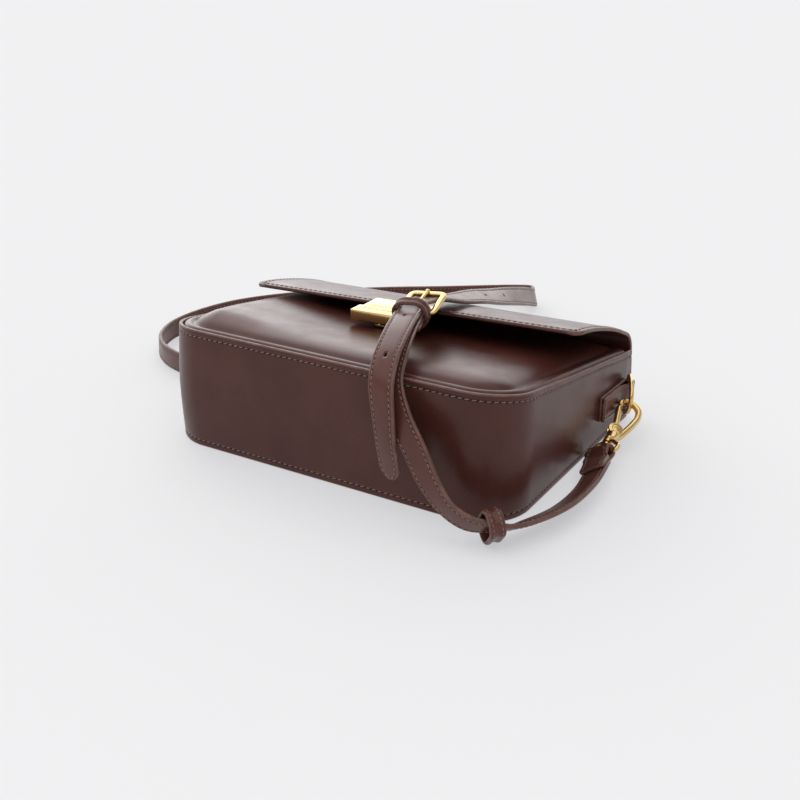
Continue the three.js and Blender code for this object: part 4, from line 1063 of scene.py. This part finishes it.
def side_hardware(label, mirror):
    stations, widths = side_tab_stations()
    ribbon(Shape(), stations, widths, TAB_LAYER).build(
        f"side_tab_{label}_leather", "leather", STRAPS, f"side_tab_{label}", mirror=mirror,
    )
    threads = Shape()
    outer = stations[len(stations) // 2:]
    outward = -1 if outer[-1][3][0] < 0 else 1
    sew_ribbon(threads, outer, widths[len(stations) // 2:], TAB_LAYER, 2, (outward,))
    end, end_up, end_width = outer[-2][0], outer[-2][3] * outward, widths[-1] / 2 - 2
    across = np.linspace(-end_width, end_width, 9)[:, None] * outer[-2][2]
    threads.sew(end + across + end_up * TAB_LAYER * 0.43, np.tile(end_up, (9, 1)), 2.6)
    threads.build(f"side_tab_{label}_stitching", "leather", [THREADS], mirror=mirror)

    points = [
        RING_BAR
        + RING_REACH * RING_DEPTH * math.cos(a)
        + RING_AXIS * RING_HALF_LENGTH * math.sin(a)
        for a in np.linspace(-math.pi / 2, math.pi / 2, 11)
    ]
    points += [RING_BAR + RING_AXIS * RING_HALF_LENGTH * share for share in (0.8, 0, -0.8)]
    normal = np.cross(RING_REACH, RING_AXIS)
    Shape().tube(points, normal, RING_WIRE, closed=True).build(
        f"ring_{label}_metal", "brass", [BRASS], f"ring_{label}", mirror=mirror,
    )
    hook(label, mirror)
    gate(label, mirror)
    swivel_eye(label, mirror)


# The hook's arm: ahead as a share of the hook's length, and to the side in millimetres
HOOK_ARM = [
    (0.31, 2.6), (0.37, 4.3), (0.48, 5.7), (0.645, 7.4), (0.8, 8.1), (0.91, 6.6), (0.968, 2.4),
    (0.958, -1.9), (0.905, -4), (0.857, -4.3),
]


def hook(label, mirror):
    metal = Shape()
    arm = [on_hook(ahead * HOOK_LENGTH, side) for ahead, side in HOOK_ARM]
    metal.tube(arm, HOOK_OUT, HOOK_WIRE, sides=18)
    metal.turned(on_hook(0, 1.2), HOOK_ALONG, [
        (1.6, 12.2), (2.7, 12.6), (3, 13.4), (3.5, 14.6), (3.9, 15.8), (3.6, 16.5), (2.4, 16.8),
    ])
    hub = on_hook(HUB_PLACE, HUB_OFFSET)
    cheek = (HUB_THICKNESS - 1.7 - 0.6) / 2
    for side in (1, -1):
        middle = hub + HOOK_OUT * side * (HUB_THICKNESS - cheek) / 2
        metal.disc(middle, HOOK_OUT, HUB_RADIUS, cheek, 0.4)
        face = HOOK_OUT * side
        metal.turned(hub + face * (HUB_THICKNESS / 2 - 0.1), face, [
            (2.3, 0), (2.3, 0.2), (2.15, 0.34), (1.2, 0.4), (1.05, 0.2), (0.9, 0.36), (0.3, 0.42),
        ])
    metal.turned(HOOK_BAR, HOOK_ALONG, [
        (1.4, 6.2), (2.1, 6.4), (2.1, 7.5), (1.2, 7.9), (1.2, 10.9), (2.4, 11.2), (2.6, 11.6),
        (2.6, 12.4), (2, 13), (2, 14),
    ])
    metal.build(
        f"snap_hook_{label}_metal", "brass", [BRASS], f"snap_hook_{label}",
        mirror=mirror, hard=True,
    )


def gate(label, mirror):
    hub = on_hook(HUB_PLACE, HUB_OFFSET)
    tip = on_hook(GATE_TIP_AHEAD, GATE_TIP_SIDE)
    ahead = unit(tip - hub)
    metal = Shape()
    metal.tube([hub + ahead * 4, hub + ahead * 9, tip], HOOK_OUT, GATE_RADIUS, sides=16, flat=1.25)
    metal.tube([hub + ahead * 2.2, hub + ahead * 5], HOOK_OUT, 0.85)
    metal.disc(hub, HOOK_OUT, GATE_EYE_RADIUS, 1.6, 0.25)
    metal.build(
        f"gate_{label}_metal", "brass", [BRASS], f"gate_{label}",
        body=f"gate_{label}", mirror=mirror, hard=True,
    )


def swivel_eye(label, mirror):
    half = STRAP_WIDTH / 2 + 1.6 + EYE_WIRE
    corners = [
        (0, -half), (0, -half * 0.5), (0, half * 0.5), (0, half), (2.6, half + 0.3),
        (6, half * 0.72), (8.6, half * 0.42), (BOSS_PLACE, 0), (8.6, -half * 0.42),
        (6, -half * 0.72), (2.6, -half - 0.3),
    ]
    points = [HOOK_BAR + HOOK_ALONG * ahead + EYE_SIDE * side for ahead, side in corners]
    metal = Shape()
    metal.tube(points, np.cross(HOOK_ALONG, EYE_SIDE), EYE_WIRE, closed=True)
    metal.disc(on_hook(BOSS_PLACE, 0), HOOK_ALONG, 2.7, 2.4, 0.5)
    metal.build(
        f"swivel_eye_{label}_metal", "brass", [BRASS], f"swivel_eye_{label}",
        mirror=mirror, hard=True,
    )


def buckle():
    half, corner = BUCKLE_WIDTH / 2, 2
    near, far = corner * 0.3, BUCKLE_LENGTH - corner * 0.3
    places = [
        (0, -half + corner), (0, 0), (0, half - corner), (near, half - near),
        (corner, half), (BUCKLE_LENGTH / 2, half), (BUCKLE_LENGTH - corner, half),
        (far, half - near), (BUCKLE_LENGTH, half - corner),
        (BUCKLE_LENGTH, 0), (BUCKLE_LENGTH, -half + corner), (far, -half + near),
        (BUCKLE_LENGTH - corner, -half), (BUCKLE_LENGTH / 2, -half), (corner, -half),
        (near, -half + near),
    ]
    line = dense([on_buckle(ahead, side, 0) for ahead, side in places], closed=True)
    line = evenly(np.concatenate([line, line[:1]]), 0.8)[0][:-1]
    ahead = unit(np.roll(line, -1, 0) - np.roll(line, 1, 0))
    out = np.cross(ahead, BUCKLE_UP)
    section = [
        (1, 0.55), (0.82, 0.86), (0.5, 1), (-0.5, 1), (-0.82, 0.86), (-1, 0.55),
        (-1, -0.55), (-0.82, -0.86), (-0.5, -1), (0.5, -1), (0.82, -0.86), (1, -0.55),
    ]
    wide, high = BUCKLE_WIRE * 1.2, BUCKLE_WIRE * 0.85
    loops = [
        [point + side * x * wide + BUCKLE_UP * z * high for x, z in section]
        for point, side in zip(line, out)
    ]
    Shape().loft(loops, closed=True).build(
        "buckle_frame_metal", "brass", [BRASS], "buckle_frame", hard=True,
    )
    curl = BUCKLE_WIRE + 0.3 + PRONG_RADIUS
    circle = [
        on_buckle(curl * math.cos(a), 0, curl * math.sin(a))
        for a in np.linspace(0, 2 * math.pi, 12, endpoint=False)
    ]
    metal = Shape().tube(circle, BUCKLE_ACROSS, PRONG_RADIUS, closed=True, flat=1.2)
    line = [
        on_buckle(curl * 0.5, 0, curl * 0.87), on_buckle(BUCKLE_LENGTH * 0.3, 0, curl * 0.97),
        on_buckle(BUCKLE_LENGTH * 0.7, 0, curl * 0.92), on_buckle(BUCKLE_LENGTH - 2, 0, curl * 0.8),
        on_buckle(BUCKLE_LENGTH - 0.6, 0, curl * 0.76),
    ]
    metal.tube(line, BUCKLE_ACROSS, PRONG_RADIUS, sides=16)
    metal.turned(line[-1], line[-1] - line[-2], [
        (0.5, -1.3), (1.05, -1), (1.3, -0.4), (1.3, 0.3), (1, 0.9), (0.4, 1.2),
    ])
    metal.build("buckle_prong_metal", "brass", [BRASS], "buckle_prong", hard=True)


# Floor, light and camera

def aimed(name, data, towards):
    made = bpy.data.objects.new(name, data)
    made.rotation_mode = "QUATERNION"
    made.rotation_quaternion = Vector(towards).to_track_quat("-Z", "Y")
    bpy.context.collection.objects.link(made)
    return made


def studio():
    material, tree, shader, place = new_material("pale_floor")
    tone = spread(tree, noise(tree, place, 3), 0.3, 0.7, 0, 1)
    colour = blend_colours(tree, tone, (0.36, 0.357, 0.35, 1), (0.366, 0.363, 0.356, 1))
    tree.links.new(colour, shader.inputs["Base Color"])
    shader.inputs["Emission Color"].default_value = (0.45, 0.455, 0.472, 1)
    shader.inputs["Emission Strength"].default_value = 1
    shader.inputs["Roughness"].default_value = 1
    shader.inputs["Specular IOR Level"].default_value = 0
    mesh = bpy.data.meshes.new("floor")
    corners = [(x * FLOOR_REACH, y * FLOOR_REACH, FLOOR_LEVEL) for x, y in CORNERS]
    mesh.from_pydata(corners, [], [(0, 1, 2, 3)])
    mesh.materials.append(material)
    floor = bpy.data.objects.new("floor", mesh)
    bpy.context.collection.objects.link(floor)

    world = bpy.data.worlds.new("studio")
    world.use_nodes = True
    bpy.context.scene.world = world
    tree = world.node_tree
    towards = node(tree, "ShaderNodeTexCoord").outputs["Generated"]
    height = node(tree, "ShaderNodeSeparateXYZ", [("Vector", towards)]).outputs["Z"]
    share = spread(tree, height, 0.12, 0.5, 0, 1)
    sky = blend_colours(tree, share, (1.55, 1.52, 1.55, 1), (0.7, 0.7, 0.71, 1))
    tree.links.new(sky, tree.nodes["Background"].inputs["Color"])
    tree.nodes["Background"].inputs["Strength"].default_value = 0.58

    for name, towards, angle, strength in (
        ("back", (0.5, -0.82, -0.26), 75, 1.55),
        ("left", (0.86, -0.4, -0.34), 65, 0.95),
        ("top", (0.1, 0.15, -1), 95, 1.48),
    ):
        light = bpy.data.lights.new(name, "SUN")
        light.energy = strength
        light.angle = math.radians(angle)
        aimed(name, light, towards)
    bpy.context.scene.view_settings.view_transform = "Standard"


def camera():
    data = bpy.data.cameras.new("camera")
    data.lens = 50
    data.sensor_width = 36
    view = aimed("camera", data, CAMERA_TOWARDS)
    view.location = CAMERA_PLACE
    bpy.context.scene.camera = view


camera()
gusset()
front_panel()
back_panel()
flap()
clasp()
short_strap()
long_strap()
keepers()
buckle()
side_hardware("right", False)
side_hardware("left", True)
studio()
